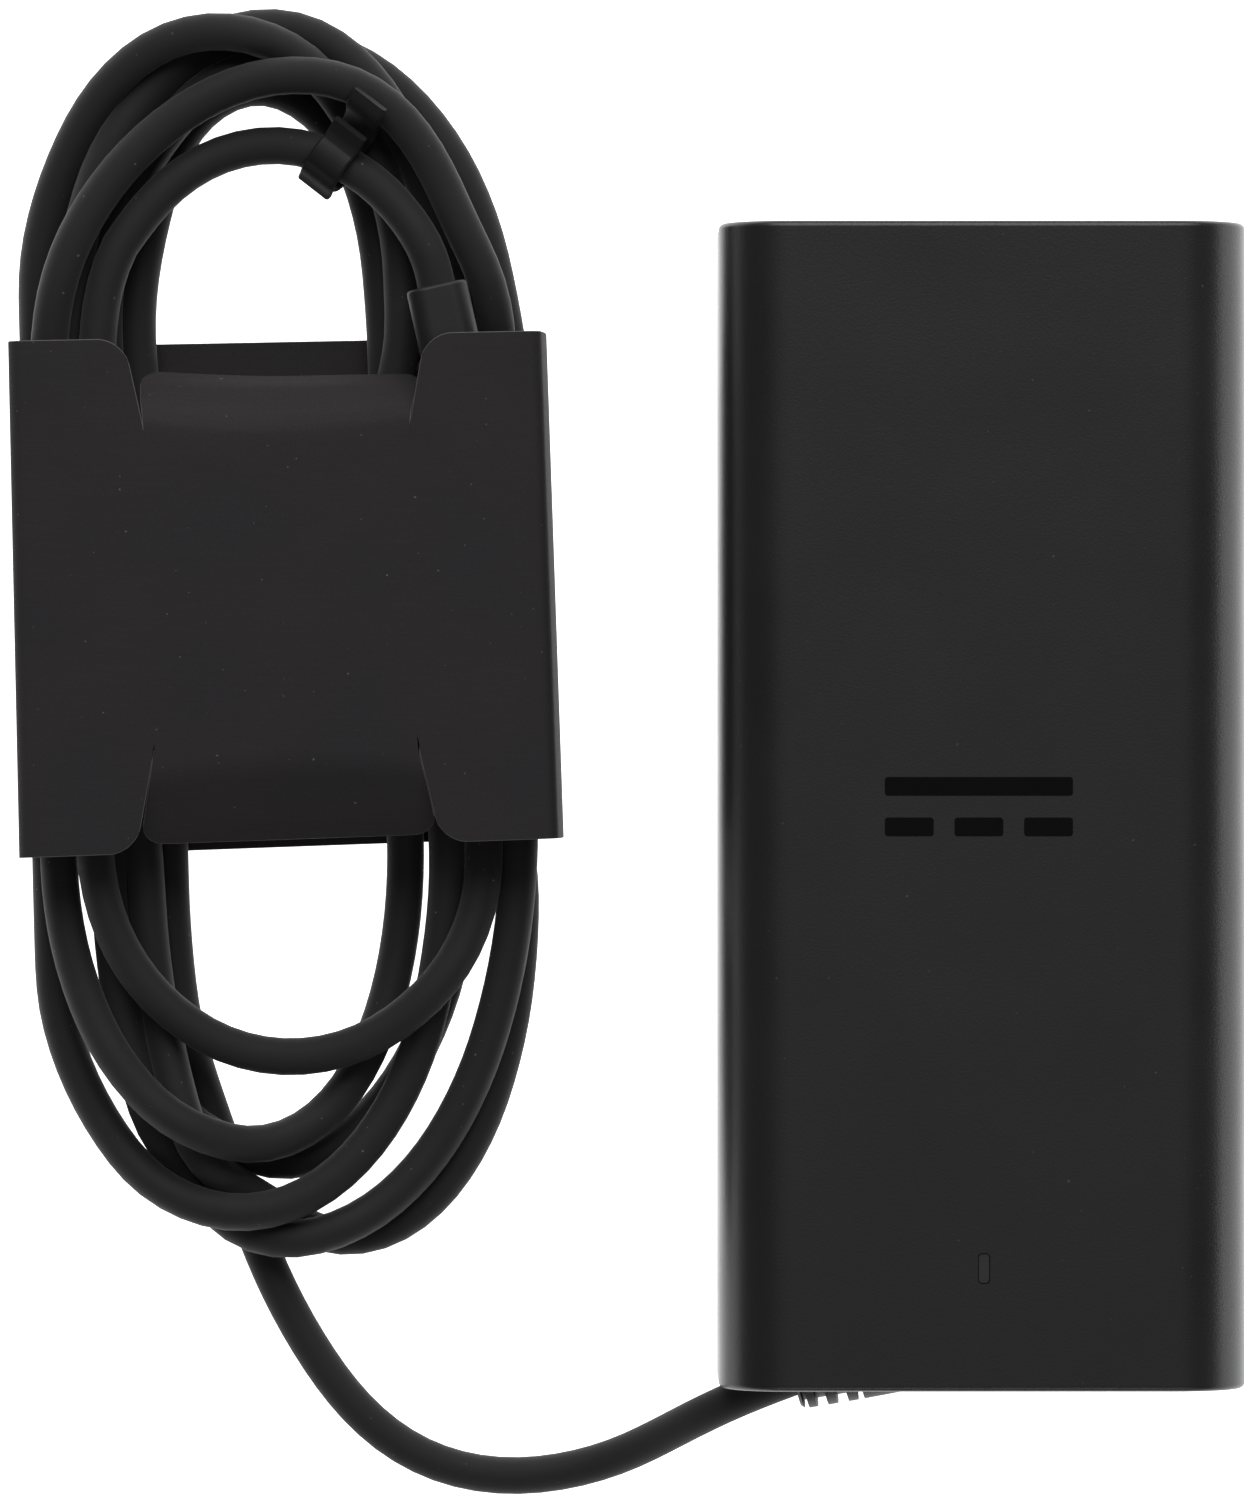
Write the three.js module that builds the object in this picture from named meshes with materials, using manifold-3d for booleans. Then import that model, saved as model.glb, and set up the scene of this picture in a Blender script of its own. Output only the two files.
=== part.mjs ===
// Laptop power adapter: a flat brick with a three-pole mains inlet at one end, and a low-voltage
// cord that leaves the other end sideways, lies wound as an oval hank and carries a small plug.
// A paperboard sleeve holds the hank. Millimetres, +Z up, origin under the middle of the brick.

import * as THREE from "three";
import { mergeVertices } from "three/addons/utils/BufferGeometryUtils.js";
import Module from "manifold-3d";

const wasm = await Module();
wasm.setup();

// ---- Driving dimensions ---------------------------------------------------------------------

const GAP = 0.3; // clearance between touching pieces

const BRICK_LENGTH = 112.8;
const BRICK_WIDTH = 51;
const BRICK_HEIGHT = 28;
const SIDE_RADIUS = 7; // the four long edges
const END_RADIUS = 0.6; // the edges round each end face
const WALL = 2.2;
const SEAM_Z = BRICK_HEIGHT / 2;
const LIP_HEIGHT = 1.6; // the lower shell's lip inside the upper shell
const LIP_THICKNESS = 0.9;

const INLET_OPENING_Y = 50; // the end wall is open for the inlet from here out
const INLET_HALF_WIDTH = 10.2;
const INLET_HALF_HEIGHT = 7.6;
const INLET_DEPTH = 17;
const INLET_BACK_WALL = 2;
const POLE_RADIUS = 1.2;
const POLE_LOBE_RADIUS = 3.5; // the recess round each pole
const POLE_SET_BACK = 5;
const POLE_SIDE_OFFSET = 4.7;
const POLE_HEIGHT_OFFSET = 2.1;

const BOARD_THICKNESS = 1.6;
const BOARD_Z = 4.2; // underside of the main board
const BOARD_HALF_WIDTH = 20.5;
const BOARD_START_Y = -51;
const BOARD_END_Y = 36.5;
const BOARD_TOP = BOARD_Z + BOARD_THICKNESS;
const PARTS_Z = BOARD_TOP + GAP; // what stands on the main board starts here

const LIGHT_Y = -44.5; // status light slot
const LIGHT_WIDTH = 1.1;
const LIGHT_LENGTH = 2.9;
const LIGHT_FLANGE_WIDTH = 4;
const LIGHT_FLANGE_LENGTH = 6;
const LIGHT_SKIN = 1.2; // case wall left round the slot, over the window's flange

const CORD_DIAMETER = 3.7;
const CORD_SIDES = 8;
const CORD_STEPS = 44;
const RELIEF_ROOT_RADIUS = 4;
const RELIEF_NECK_RADIUS = 3.2;
const RELIEF_TIP_RADIUS = 3.1;
const RELIEF_NECK_Y = -50.4;
const POCKET_HALF_HEIGHT = 4.8;
const POCKET_WALL = 1.8; // case material above and below the scoop

const SLEEVE_CENTRE = new THREE.Vector3(-68.05, 20.8, 0); // middle of the hank on the table
const SLEEVE_TURN = THREE.MathUtils.degToRad(1.6);
const SLEEVE_WIDTH = 52.4;
const SLEEVE_LENGTH = 50;
const SLEEVE_HEIGHT = 16;
const SLEEVE_RADIUS = 1.3;
const PAPER = 0.4;

const HANK_HALF_WIDTH = 24.8;
const HANK_SIDE_SHIFT = -0.7; // the hank lies a little left of the sleeve's middle
const HANK_BOTTOM = PAPER + GAP + 0.05;
const HANK_TOP = 11.6;
const INNER_RUNS_TOP = 8.6; // the runs beside the hank's middle gap lie lower, under the tongues

const PLUG_WIDTH = 6;
const PLUG_HEIGHT = 9.6;
const PLUG_LENGTH = 21;
const PLUG_BOTTOM = 5.5;
const PLUG_REAR = new THREE.Vector3(-53, 50.8, PLUG_BOTTOM + PLUG_HEIGHT / 2);
const PLUG_TURN = THREE.MathUtils.degToRad(12.5);
const SHELL_WIDTH = 2.56; // metal plug shell, thin side
const SHELL_HEIGHT = 8.34;
const SHELL_LENGTH = 6.65;
const SHELL_SEAT = 5; // how far the shell reaches back into the boot
const SHELL_SHEET = 0.3;

const TIE_CENTRE = new THREE.Vector3(-62.8, 63, 6.6); // on the innermost turn
const TIE_TURN = THREE.MathUtils.degToRad(-27); // direction of the cord at the tie

// ---- Colours --------------------------------------------------------------------------------

function finish(colour, roughness, metalness = 0) {
  return new THREE.MeshStandardMaterial({ color: colour, roughness, metalness });
}

const CASE_PLASTIC = finish(0x2a2a2b, 0.62);
const CORD_PLASTIC = finish(0x252526, 0.5);
const SOFT_RUBBER = finish(0x1c1c1d, 0.35);
const SLEEVE_PAPER = finish(0x2b292a, 0.8);
const LIGHT_PLASTIC = finish(0x3a3b3c, 0.25);
const LABEL_PLASTIC = finish(0x303032, 0.55);
const INLET_PLASTIC = finish(0x1a1a1b, 0.5);
const PLATED_METAL = finish(0xb9bcc0, 0.3, 1);
const BOARD_GREEN = finish(0x1f4a2c, 0.55);
const FERRITE = finish(0x2b2c30, 0.7);
const COPPER = finish(0xb06a38, 0.35, 1);
const CAN_SLEEVE = finish(0x26324a, 0.45);
const FILM_YELLOW = finish(0xc9a43a, 0.5);
const CERAMIC_BLUE = finish(0x3a6fa8, 0.5);
const FUSE_BODY = finish(0x3d3d42, 0.5);
const CHIP_EPOXY = finish(0x18181a, 0.6);
const HEAT_ALUMINIUM = finish(0xa9adb2, 0.4, 1);
const INSULATION_FILM = finish(0x5a5f63, 0.4);
const TAPE_YELLOW = finish(0xd0b030, 0.5);
const RED_WIRE = finish(0x9a1f1f, 0.5);
const BLACK_WIRE = finish(0x202022, 0.5);
const LED_WHITE = finish(0xe8ecef, 0.3);

// ---- Solids ---------------------------------------------------------------------------------

function toSolid(geometry) {
  const bare = geometry.clone();
  bare.deleteAttribute("normal");
  bare.deleteAttribute("uv");
  const merged = mergeVertices(bare, 1e-4);
  const mesh = new wasm.Mesh({
    numProp: 3,
    vertProperties: new Float32Array(merged.attributes.position.array),
    triVerts: new Uint32Array(merged.index.array),
  });
  return new wasm.Manifold(mesh);
}

function toGeometry(solid) {
  const mesh = solid.getMesh();
  const geometry = new THREE.BufferGeometry();
  geometry.setAttribute("position", new THREE.BufferAttribute(mesh.vertProperties, 3));
  geometry.setIndex(new THREE.BufferAttribute(mesh.triVerts, 1));
  geometry.computeVertexNormals();
  return geometry;
}

/** A block between two corners, each given as [x, y, z]. */
function block(low, high) {
  const [x, y, z] = high.map((value, axis) => value - low[axis]);
  const geometry = new THREE.BoxGeometry(x, y, z);
  geometry.translate((low[0] + high[0]) / 2, (low[1] + high[1]) / 2, (low[2] + high[2]) / 2);
  return toSolid(geometry);
}

/** A block stated by its middle in X and Y, its size, and its underside. */
function standing(x, y, bottom, width, length, height) {
  return block([x - width / 2, y - length / 2, bottom], [x + width / 2, y + length / 2, bottom + height]);
}

/** A flat outline in X and Y, raised from one height to another. */
function raised(shape, bottom, top, curveSegments = 6) {
  const depth = top - bottom;
  const geometry = new THREE.ExtrudeGeometry(shape, { depth, bevelEnabled: false, curveSegments });
  geometry.translate(0, 0, bottom);
  return toSolid(geometry);
}

/** An outline in X and Z, run along Y from one place to another. */
function along(shape, start, end, curveSegments = 6) {
  const depth = end - start;
  const geometry = new THREE.ExtrudeGeometry(shape, { depth, bevelEnabled: false, curveSegments });
  geometry.rotateX(Math.PI / 2);
  geometry.translate(0, end, 0);
  return toSolid(geometry);
}

function roundedRectangle(width, height, radius, centreX = 0, centreY = 0) {
  const x = width / 2;
  const y = height / 2;
  const shape = new THREE.Shape();
  shape.absarc(centreX + x - radius, centreY + y - radius, radius, 0, Math.PI / 2);
  shape.absarc(centreX - x + radius, centreY + y - radius, radius, Math.PI / 2, Math.PI);
  shape.absarc(centreX - x + radius, centreY - y + radius, radius, Math.PI, Math.PI * 1.5);
  shape.absarc(centreX + x - radius, centreY - y + radius, radius, Math.PI * 1.5, Math.PI * 2);
  return shape;
}

function circle(radius, x = 0, y = 0) {
  const shape = new THREE.Shape();
  shape.absarc(x, y, radius, 0, Math.PI * 2);
  return shape;
}

function polygon(points) {
  return new THREE.Shape(points.map(([x, y]) => new THREE.Vector2(x, y)));
}

/** An upright round can. */
function can(x, y, bottom, radius, height, sides = 20) {
  const geometry = new THREE.CylinderGeometry(radius, radius, height, sides);
  geometry.rotateX(Math.PI / 2);
  geometry.translate(x, y, bottom + height / 2);
  return toSolid(geometry);
}

/** A round can lying along Y. */
function lyingCan(x, y, z, radius, length, sides = 20) {
  const geometry = new THREE.CylinderGeometry(radius, radius, length, sides);
  geometry.translate(x, y, z);
  return toSolid(geometry);
}

/** A round tube along a smooth route of points. */
function tube(points, radius, sides, steps) {
  const route = new THREE.CatmullRomCurve3(points.map((point) => new THREE.Vector3(...point)));
  const section = new THREE.Shape();
  for (let side = 0; side < sides; side += 1) {
    const angle = (side * 2 * Math.PI) / sides;
    const place = [radius * Math.cos(angle), radius * Math.sin(angle)];
    if (side === 0) section.moveTo(...place);
    else section.lineTo(...place);
  }
  section.closePath();
  return toSolid(new THREE.ExtrudeGeometry(section, { steps, extrudePath: route }));
}

/** A round solid along a smooth route whose radius changes: stations are [share of route, radius]. */
function taperedTube(points, stations, sides) {
  const route = new THREE.CatmullRomCurve3(points.map((point) => new THREE.Vector3(...point)));
  const up = new THREE.Vector3(0, 0, 1);
  const positions = [];
  for (const [share, radius] of stations) {
    const centre = route.getPointAt(share);
    const forward = route.getTangentAt(share);
    const sideways = new THREE.Vector3().crossVectors(forward, up).normalize();
    const upright = new THREE.Vector3().crossVectors(sideways, forward);
    for (let side = 0; side < sides; side += 1) {
      const angle = (side * 2 * Math.PI) / sides;
      const point = centre.clone();
      point.addScaledVector(sideways, radius * Math.cos(angle));
      point.addScaledVector(upright, radius * Math.sin(angle));
      positions.push(...point.toArray());
    }
  }
  const startCentre = positions.length / 3;
  positions.push(...route.getPointAt(stations[0][0]).toArray());
  positions.push(...route.getPointAt(stations[stations.length - 1][0]).toArray());
  const faces = [];
  const lastRing = (stations.length - 1) * sides;
  for (let side = 0; side < sides; side += 1) {
    const next = (side + 1) % sides;
    for (let ring = 0; ring < lastRing; ring += sides) {
      faces.push(ring + side, ring + sides + side, ring + next);
      faces.push(ring + next, ring + sides + side, ring + sides + next);
    }
    faces.push(startCentre, side, next);
    faces.push(startCentre + 1, lastRing + next, lastRing + side);
  }
  const geometry = new THREE.BufferGeometry();
  geometry.setAttribute("position", new THREE.Float32BufferAttribute(positions, 3));
  geometry.setIndex(faces);
  return toSolid(geometry);
}

const adapter = new THREE.Group();

function place(name, solid, material, group = adapter) {
  const mesh = new THREE.Mesh(toGeometry(solid), material);
  mesh.name = name;
  group.add(mesh);
  return mesh;
}

// ---- Case -----------------------------------------------------------------------------------

/** The brick's outer body, or the same body drawn in by an inset. */
function brickBody(inset, endRadius) {
  const section = roundedRectangle(BRICK_WIDTH - 2 * inset, BRICK_HEIGHT - 2 * inset, SIDE_RADIUS - inset);
  const length = BRICK_LENGTH - 2 * inset;
  const geometry = new THREE.ExtrudeGeometry(section, {
    depth: length - 2 * endRadius,
    curveSegments: 6,
    bevelEnabled: endRadius > 0,
    bevelThickness: endRadius,
    bevelSize: endRadius,
    bevelOffset: -endRadius,
    bevelSegments: 3,
  });
  geometry.rotateX(Math.PI / 2);
  geometry.translate(0, length / 2 - endRadius, BRICK_HEIGHT / 2);
  return toSolid(geometry);
}

const FAR = 200; // past everything, for cutting blocks

function aboveHeight(z) {
  return block([-FAR, -FAR, z], [FAR, FAR, FAR]);
}

function belowHeight(z) {
  return block([-FAR, -FAR, -FAR], [FAR, FAR, z]);
}

/** The scoop in the cord end, seen from above: its floor slopes outwards the way the cord leaves. */
const POCKET_OUTLINE = [
  [3.4, -60],
  [3.4, -46.6],
  [-3, -46.9],
  [-18, -51],
  [-24.6, -55.9],
  [-24.6, -60],
];
const POCKET_WALL_OUTLINE = [
  [5.4, -57],
  [5.4, -44.6],
  [-3.4, -44.9],
  [-19, -49.1],
  [-25, -53.9],
  [-25, -57],
];

function pocketCutter() {
  const low = SEAM_Z - POCKET_HALF_HEIGHT;
  const high = SEAM_Z + POCKET_HALF_HEIGHT;
  const scoop = raised(polygon(POCKET_OUTLINE), low, high);
  const neckHole = new THREE.CylinderGeometry(RELIEF_NECK_RADIUS + GAP, RELIEF_NECK_RADIUS + GAP, 6, 20);
  neckHole.rotateZ(Math.PI / 2);
  neckHole.translate(4.4, RELIEF_NECK_Y, SEAM_Z);
  return scoop.add(toSolid(neckHole));
}

function inletCutter() {
  const x = INLET_HALF_WIDTH + GAP;
  const z = INLET_HALF_HEIGHT + GAP;
  return block([-x, INLET_OPENING_Y, SEAM_Z - z], [x, FAR, SEAM_Z + z]);
}

/** Both shells before they are parted: hollow body, cord pocket and inlet opening. */
function wholeCase() {
  const body = brickBody(0, END_RADIUS);
  const hollow = body.subtract(brickBody(WALL, 0));
  const wallHeight = POCKET_HALF_HEIGHT + POCKET_WALL;
  const pocketWall = raised(polygon(POCKET_WALL_OUTLINE), SEAM_Z - wallHeight, SEAM_Z + wallHeight);
  return hollow.add(pocketWall.intersect(body)).subtract(pocketCutter()).subtract(inletCutter());
}

function lipRing(inset, top) {
  const ring = brickBody(inset, 0).subtract(brickBody(WALL, 0));
  return ring.intersect(block([-FAR, -FAR, SEAM_Z - 1], [FAR, FAR, top]));
}

function lipStops() {
  const pocketArea = block([-26, -FAR, 0], [6.5, -44, BRICK_HEIGHT]);
  return pocketArea.add(inletCutter());
}

function lightSlot() {
  const slot = roundedRectangle(LIGHT_WIDTH + 0.1, LIGHT_LENGTH + 0.1, LIGHT_WIDTH / 2, 0, LIGHT_Y);
  const stepWidth = LIGHT_FLANGE_WIDTH + 2 * GAP;
  const stepLength = LIGHT_FLANGE_LENGTH + 2 * GAP;
  const step = roundedRectangle(stepWidth, stepLength, 1, 0, LIGHT_Y);
  return raised(slot, 20, FAR).add(raised(step, 20, BRICK_HEIGHT - LIGHT_SKIN));
}

const BOARD_POSTS = [
  [-17, 30],
  [17, 30],
  [-17, -12],
  [17, -12],
  [-14, -38],
  [14, -38],
];
const POST_RADIUS = 2.2;
const POST_FOOT_Z = 1.5;

const LABEL_WIDTH = 37.4;
const LABEL_LENGTH = 61.4;
const LABEL_RECESS = 0.8;

function labelRecess() {
  return raised(roundedRectangle(LABEL_WIDTH + 2 * GAP, LABEL_LENGTH + 2 * GAP, 2), -1, LABEL_RECESS);
}

const SEAM_UPPER = SEAM_Z + GAP / 2;
const SEAM_LOWER = SEAM_Z - GAP / 2;
const caseBody = wholeCase();
const lipInset = WALL - LIP_THICKNESS;
const rebate = lipRing(lipInset - GAP, SEAM_Z + LIP_HEIGHT + GAP).subtract(lipStops());

let topShell = caseBody.intersect(aboveHeight(SEAM_UPPER));
topShell = topShell.subtract(rebate).subtract(lightSlot());
place("top_shell", topShell, CASE_PLASTIC);

let bottomShell = caseBody.intersect(belowHeight(SEAM_LOWER));
bottomShell = bottomShell.add(lipRing(lipInset, SEAM_Z + LIP_HEIGHT).subtract(lipStops()));
for (const [x, y] of BOARD_POSTS) {
  const post = can(x, y, POST_FOOT_Z, POST_RADIUS, BOARD_Z - GAP - POST_FOOT_Z, 16);
  bottomShell = bottomShell.add(post);
}
bottomShell = bottomShell.subtract(labelRecess());
place("bottom_shell", bottomShell, CASE_PLASTIC);

const ratingPlate = raised(roundedRectangle(LABEL_WIDTH, LABEL_LENGTH, 1.8), 0.1, LABEL_RECESS - GAP);
place("rating_plate", ratingPlate, LABEL_PLASTIC);

// ---- Status light ---------------------------------------------------------------------------

function lightWindow() {
  const faceShape = roundedRectangle(LIGHT_WIDTH - 0.1, LIGHT_LENGTH - 0.1, 0.45, 0, LIGHT_Y);
  const flangeShape = roundedRectangle(LIGHT_FLANGE_WIDTH, LIGHT_FLANGE_LENGTH, 0.8, 0, LIGHT_Y);
  const face = raised(faceShape, 25.5, BRICK_HEIGHT - 0.25);
  const flange = raised(flangeShape, 25.2, BRICK_HEIGHT - LIGHT_SKIN - GAP);
  const pipe = can(0, LIGHT_Y, 22.8, 1.2, 3, 16);
  return face.add(flange).add(pipe);
}

place("light_window", lightWindow(), LIGHT_PLASTIC);
place("status_led", standing(0, LIGHT_Y + 0.5, 21.3, 1.6, 3, 1.2), LED_WHITE);

// ---- Mains inlet ----------------------------------------------------------------------------

const POLES = [
  ["inlet_pin_line", -POLE_SIDE_OFFSET, SEAM_Z - POLE_HEIGHT_OFFSET],
  ["inlet_pin_neutral", POLE_SIDE_OFFSET, SEAM_Z - POLE_HEIGHT_OFFSET],
  ["inlet_pin_earth", 0, SEAM_Z + POLE_HEIGHT_OFFSET],
];
const INLET_FACE_Y = BRICK_LENGTH / 2 - 0.4;
const INLET_REAR_Y = INLET_FACE_Y - INLET_DEPTH;
const INLET_FLANGE_REACH = 2; // how far the flange stands out behind the end wall

/** Three overlapping lobes, one round each pole, with the lower two joined. */
function inletRecess() {
  const start = INLET_REAR_Y + INLET_BACK_WALL;
  const floorZ = SEAM_Z - POLE_HEIGHT_OFFSET;
  const joined = roundedRectangle(
    2 * (POLE_SIDE_OFFSET + POLE_LOBE_RADIUS),
    2 * POLE_LOBE_RADIUS,
    POLE_LOBE_RADIUS - 0.01,
    0,
    floorZ,
  );
  const crown = circle(POLE_LOBE_RADIUS, 0, SEAM_Z + POLE_HEIGHT_OFFSET);
  return along(joined, start, 70, 8).add(along(crown, start, 70, 12));
}

function inletHousing() {
  const width = 2 * INLET_HALF_WIDTH;
  const height = 2 * INLET_HALF_HEIGHT;
  const grown = 2 * INLET_FLANGE_REACH;
  const bodyShape = roundedRectangle(width, height, 1, 0, SEAM_Z);
  const flangeShape = roundedRectangle(width + grown, height + grown, 1, 0, SEAM_Z);
  let housing = along(bodyShape, INLET_REAR_Y, INLET_FACE_Y, 3);
  housing = housing.add(along(flangeShape, 51.9, 53.5, 3));
  housing = housing.subtract(inletRecess());
  for (const [, x, z] of POLES) {
    housing = housing.subtract(lyingCan(x, INLET_REAR_Y + 1, z, POLE_RADIUS + GAP, 6, 16));
  }
  return housing;
}

place("inlet_housing", inletHousing(), INLET_PLASTIC);
for (const [name, x, z] of POLES) {
  const start = INLET_REAR_Y - 2.5;
  const end = INLET_FACE_Y - POLE_SET_BACK;
  place(name, lyingCan(x, (start + end) / 2, z, POLE_RADIUS, end - start, 16), PLATED_METAL);
}

// ---- Electronics ----------------------------------------------------------------------------

const boardLow = [-BOARD_HALF_WIDTH, BOARD_START_Y, BOARD_Z];
const boardHigh = [BOARD_HALF_WIDTH, BOARD_END_Y, BOARD_TOP];
place("main_board", block(boardLow, boardHigh), BOARD_GREEN);

place("fuse", lyingCan(17, 31, PARTS_Z + 2.7, 2.6, 9), FUSE_BODY);
place("x_capacitor", standing(6, 30.5, PARTS_Z, 14, 6.5, 12), FILM_YELLOW);

const CHOKE_X = -13;
const CHOKE_Y = 27.2;
const CHOKE_Z = PARTS_Z + 7.7;

/** A ring standing on the board, with its hole along X. */
function chokeRing(outer, inner, width) {
  const profile = [
    new THREE.Vector2(inner, -width / 2),
    new THREE.Vector2(outer, -width / 2),
    new THREE.Vector2(outer, width / 2),
    new THREE.Vector2(inner, width / 2),
    new THREE.Vector2(inner, -width / 2),
  ];
  const geometry = new THREE.LatheGeometry(profile, 28);
  geometry.rotateZ(Math.PI / 2);
  geometry.translate(CHOKE_X, CHOKE_Y, CHOKE_Z);
  return toSolid(geometry);
}

place("choke_core", chokeRing(6.4, 3.6, 4.6), FERRITE);
const windingSpan = standing(CHOKE_X, CHOKE_Y, CHOKE_Z - 4.5, 14, 16, 9);
const chokeWinding = chokeRing(7.6, 2.4, 7.2).subtract(chokeRing(6.7, 3.3, 5.2));
place("choke_winding", chokeWinding.intersect(windingSpan), COPPER);

place("bridge_rectifier", standing(-13, 15.4, PARTS_Z, 13, 3.4, 11), CHIP_EPOXY);
for (const [index, x] of [3.6, 14.2].entries()) {
  place(`bulk_capacitor_${index + 1}`, lyingCan(x, 12.4, PARTS_Z + 5.1, 5, 25), CAN_SLEEVE);
}
place("primary_switch", standing(-13, 9.4, PARTS_Z, 6, 6.6, 1.1), CHIP_EPOXY);

const TRANSFORMER_Y = -16;
const CORE_LENGTH = 20;
const WINDOW_INNER = 4.4; // each of the core's windows, from its middle limb to its outer one
const WINDOW_OUTER = 9.4;
const WINDOW_LOW = PARTS_Z + 3;
const WINDOW_HEIGHT = 9.5;

function transformerCore() {
  let core = standing(0, TRANSFORMER_Y, PARTS_Z, 26, CORE_LENGTH, 15.5);
  const windowX = (WINDOW_INNER + WINDOW_OUTER) / 2;
  const windowWidth = WINDOW_OUTER - WINDOW_INNER;
  for (const x of [-windowX, windowX]) {
    const opening = standing(x, TRANSFORMER_Y, WINDOW_LOW, windowWidth, CORE_LENGTH + 2, WINDOW_HEIGHT);
    core = core.subtract(opening);
  }
  return core;
}

/** Windings that fill the two windows of the core and stand out at both ends. */
function transformerWinding() {
  const low = WINDOW_LOW + GAP;
  const height = WINDOW_HEIGHT - 2 * GAP;
  const around = standing(0, TRANSFORMER_Y, low, 2 * (WINDOW_OUTER - GAP), CORE_LENGTH + 6, height);
  const limbWidth = 2 * (WINDOW_INNER + GAP);
  const limb = standing(0, TRANSFORMER_Y, low - 1, limbWidth, CORE_LENGTH + 2 * GAP, height + 2);
  return around.subtract(limb);
}

place("transformer_core", transformerCore(), FERRITE);
place("transformer_winding", transformerWinding(), TAPE_YELLOW);

place("y_capacitor", lyingCan(16.8, -16, PARTS_Z + 3.1, 3, 3), CERAMIC_BLUE);
for (const [index, x] of [-12.5, 12.5].entries()) {
  place(`output_capacitor_${index + 1}`, can(x, -35.5, PARTS_Z, 4, 12.5), HEAT_ALUMINIUM);
}
place("rectifier_switch", standing(0, -33.2, PARTS_Z, 6, 5, 1.1), CHIP_EPOXY);
place("output_board", standing(7, -41.6, PARTS_Z, 20, 1.2, 17), BOARD_GREEN);
place("insulation_sheet", standing(0, -4, BOARD_Z - 1.2, 28, 60, 0.3), INSULATION_FILM);

const SPREADER_HALF_WIDTH = 20.8;
const SPREADER_TOP = 24.6;
const SPREADER_HEM_Z = 10; // lower edge of its two bent-down sides
const SPREADER_SHEET = 0.6;

/** A thin sheet bent down along both long sides, over everything on the board. */
function heatSpreader(start, end) {
  const x = SPREADER_HALF_WIDTH;
  const inside = x - SPREADER_SHEET;
  const outer = block([-x, start, SPREADER_HEM_Z], [x, end, SPREADER_TOP]);
  const hollow = block([-inside, start - 1, 5], [inside, end + 1, SPREADER_TOP - SPREADER_SHEET]);
  return outer.subtract(hollow);
}

place("primary_heat_spreader", heatSpreader(-1.5, 26), HEAT_ALUMINIUM);
place("secondary_heat_spreader", heatSpreader(-40, -2.1), COPPER);

// ---- Strain relief and wires ----------------------------------------------------------------

const RELIEF_ROUTE = [
  [9, -50.2, SEAM_Z],
  [4.4, RELIEF_NECK_Y, SEAM_Z],
  [0, -51.4, SEAM_Z],
  [-5, -52.9, SEAM_Z],
  [-11.5, -54.4, SEAM_Z - 0.1],
  [-17.9, -55.7, SEAM_Z - 0.6],
];

function strainRelief() {
  const neck = new THREE.CylinderGeometry(RELIEF_NECK_RADIUS, RELIEF_NECK_RADIUS, 6.6, 20);
  neck.rotateZ(Math.PI / 2);
  neck.translate(5, RELIEF_NECK_Y, SEAM_Z);
  const flange = block([5.7, -53.4, SEAM_Z - 4.2], [8.7, -45.6, SEAM_Z + 4.2]);
  const flare = taperedTube(
    RELIEF_ROUTE,
    [
      [0.24, RELIEF_ROOT_RADIUS - 0.6],
      [0.28, RELIEF_ROOT_RADIUS],
      [0.45, 3.8],
      [0.64, 3.55],
      [0.82, 3.3],
      [0.99, RELIEF_TIP_RADIUS],
      [1, RELIEF_TIP_RADIUS - 0.3],
    ],
    20,
  );
  return toSolid(neck).add(flange).add(flare);
}

place("cord_strain_relief", strainRelief(), SOFT_RUBBER);

const WIRES = [
  ["output_wire_positive", 1.3, RED_WIRE],
  ["output_wire_return", -1.3, BLACK_WIRE],
];
for (const [name, offset, material] of WIRES) {
  const y = -49.8 + offset;
  const route = [
    [9.1, y, SEAM_Z],
    [11.5, y, SEAM_Z - 0.4],
    [13.4, y, SEAM_Z - 2.8],
    [14, y, SEAM_Z - 5.4],
    [14, y, PARTS_Z + 0.1],
  ];
  place(name, tube(route, 0.8, 8, 12), material);
}

// ---- Cord -----------------------------------------------------------------------------------

/** From the strain relief down to the table, out in a loose curve and back under the hank. */
const CORD_ROUTE = [
  [-18.4, -55.9, 13.3],
  [-20.8, -56.8, 12.8],
  [-23.4, -57.9, 11.8],
  [-26.2, -59.3, 10.1],
  [-29, -60.9, 7.8],
  [-31.8, -62.6, 5.4],
  [-34.8, -64.3, 3.4],
  [-38, -65.4, 2.2],
  [-41.5, -66.2, 1.9],
  [-45.3, -66.6, 1.9],
  [-49.4, -66.3, 1.9],
  [-53.6, -65.2, 1.9],
  [-57.8, -62.9, 1.9],
  [-61.9, -59.1, 1.9],
  [-65.4, -54.1, 1.9],
  [-68.3, -49, 1.9],
  [-69.8, -45.9, 1.9],
];

place("cord_lead", tube(CORD_ROUTE, CORD_DIAMETER / 2, CORD_SIDES, CORD_STEPS), CORD_PLASTIC);

// ---- Hank, in its own turned group ----------------------------------------------------------

const hank = new THREE.Group();
hank.position.copy(SLEEVE_CENTRE);
hank.rotation.z = SLEEVE_TURN;
adapter.add(hank);

/** An oval with straight sides: elliptical ends of two lengths, about the hank's long axis. */
function oval(centreX, halfWidth, upperStart, upperLength, lowerStart, lowerLength, points) {
  const outline = [];
  for (let step = 0; step <= points; step += 1) {
    const angle = (step * Math.PI) / points;
    outline.push([centreX + halfWidth * Math.cos(angle), upperStart + upperLength * Math.sin(angle)]);
  }
  for (let step = 0; step <= points; step += 1) {
    const angle = (step * Math.PI) / points;
    outline.push([centreX - halfWidth * Math.cos(angle), lowerStart - lowerLength * Math.sin(angle)]);
  }
  return polygon(outline);
}

/** World place to the hank's own frame. */
function inHank(point) {
  return point.clone().sub(SLEEVE_CENTRE).applyAxisAngle(new THREE.Vector3(0, 0, 1), -SLEEVE_TURN);
}

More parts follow.
